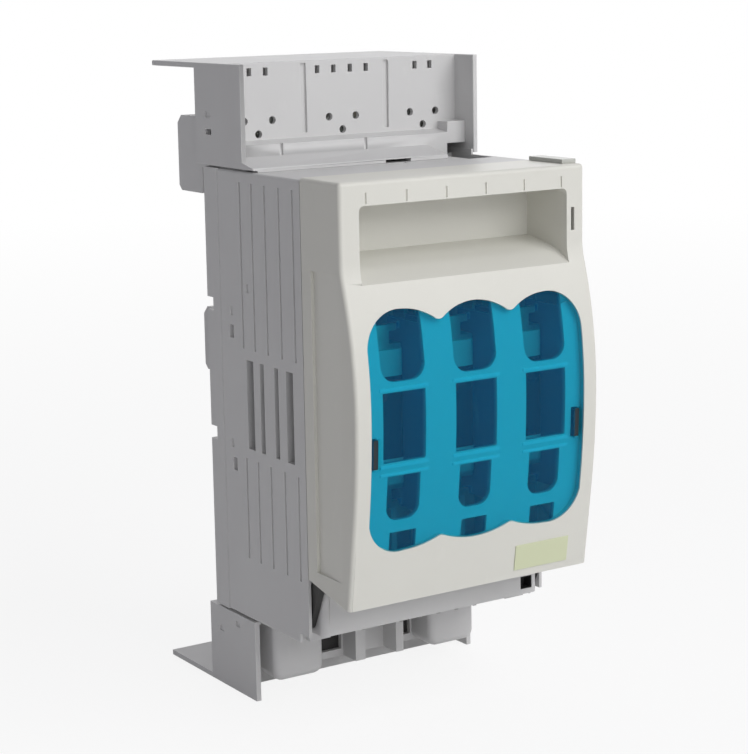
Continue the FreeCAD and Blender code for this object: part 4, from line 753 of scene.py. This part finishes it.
camera_data = bpy.data.cameras.new("camera")
camera = bpy.data.objects.new("camera", camera_data)
bpy.context.collection.objects.link(camera)
back = CAMERA_RIGHT.cross(CAMERA_UP).normalized()
turn = Matrix((CAMERA_RIGHT.normalized(), back.cross(CAMERA_RIGHT).normalized(), back)).transposed()
camera.matrix_world = Matrix.Translation(CAMERA_PLACE) @ turn.to_4x4()
camera_data.sensor_width = 36.0
camera_data.lens = FOCAL_PIXELS * camera_data.sensor_width / PHOTO_HEIGHT
camera_data.shift_y = -AXIS_ABOVE_MIDDLE / PHOTO_HEIGHT
bpy.context.scene.camera = camera
print("lens %.1f mm" % camera_data.lens)

# %% [markdown]
# Plain studio light: a wide soft lamp in front, above and to the right, which leaves the
# left side in shade as in the photo, a weak fill from the left, a rear lamp and an even
# sky. The floor is pale. What the camera sees of it is mostly a white glow, and wholly so
# far off, so that the ground looks white and the object still casts a faint shadow.

# %% Light, sky and floor


def lamp(name, place, size, watts):
    """A square area lamp that looks at the object's middle."""
    data = bpy.data.lights.new(name, "AREA")
    data.size = size
    data.energy = watts
    made = bpy.data.objects.new(name, data)
    bpy.context.collection.objects.link(made)
    made.location = place
    made.rotation_euler = (-Vector(place)).to_track_quat("-Z", "Y").to_euler()


def seen_rays(tree):
    """1 for rays from the camera and for those that metal and glass send on, else 0."""
    rays = add(tree, "ShaderNodeLightPath")
    seen = add(tree, "ShaderNodeMath", {0: rays.outputs["Is Camera Ray"], 1: rays.outputs["Is Glossy Ray"]},
               operation="MAXIMUM")
    return add(tree, "ShaderNodeMath", {0: seen.outputs[0], 1: rays.outputs["Is Transmission Ray"]},
               operation="MAXIMUM")


lamp("key", (0.5, -1.36, 1.05), 1.3, 19.0)
lamp("front", (-0.4, -1.65, 0.2), 1.4, 5.6)
lamp("rear", (0.9, 1.5, 0.9), 1.4, 7.0)

SKY_STRENGTH = 0.22
world = bpy.data.worlds.new("sky")
bpy.context.scene.world = world
world.use_nodes = True
sky = world.node_tree
sky.nodes.clear()
seen = seen_rays(sky)
even = add(sky, "ShaderNodeBackground", {"Color": linear("#f6f5ff"), "Strength": SKY_STRENGTH})
white = add(sky, "ShaderNodeBackground", {"Color": linear("#ffffff"), "Strength": 1.0})
mixed = add(sky, "ShaderNodeMixShader", {0: seen.outputs[0], 1: even.outputs[0], 2: white.outputs[0]})
add(sky, "ShaderNodeOutputWorld", {"Surface": mixed.outputs[0]})

FLOOR_SIZE = 6.0
FLOOR_BELOW_MM = 0.5
FLOOR_GLOW = (0.87, 1.0)
GLOW_REACH = (0.35, 1.6)
bm = bmesh.new()
bmesh.ops.create_grid(bm, x_segments=1, y_segments=1, size=FLOOR_SIZE)
bmesh.ops.translate(bm, verts=bm.verts, vec=(0.0, 0.0, cad_box[0][2] - FLOOR_BELOW_MM * MM))
floor_mesh = bpy.data.meshes.new("floor")
bm.to_mesh(floor_mesh)
bm.free()
floor_paint, tree, output = new_material("white_studio_floor")
seen = seen_rays(tree)
lit = add(tree, "ShaderNodeBsdfDiffuse", {"Color": linear("#f4f4f4")})
glow = add(tree, "ShaderNodeEmission", {"Color": linear("#ffffff"), "Strength": 1.0})
place = add(tree, "ShaderNodeTexCoord").outputs["Object"]
reach = add(tree, "ShaderNodeVectorMath", {0: place}, operation="LENGTH")
paper = add(tree, "ShaderNodeMapRange", {
    "Value": reach.outputs["Value"], "From Min": GLOW_REACH[0], "From Max": GLOW_REACH[1],
    "To Min": FLOOR_GLOW[0], "To Max": FLOOR_GLOW[1]})
share = add(tree, "ShaderNodeMath", {0: seen.outputs[0], 1: paper.outputs["Result"]},
            operation="MULTIPLY")
both = add(tree, "ShaderNodeMixShader", {0: share.outputs[0], 1: lit.outputs[0], 2: glow.outputs[0]})
tree.links.new(both.outputs[0], output.inputs["Surface"])
floor_mesh.materials.append(floor_paint)
floor = bpy.data.objects.new("floor", floor_mesh)
bpy.context.collection.objects.link(floor)
bpy.context.scene.view_settings.view_transform = "Standard"
print("floor at %.1f mm" % (cad_box[0][2] / MM))

# %% [markdown]
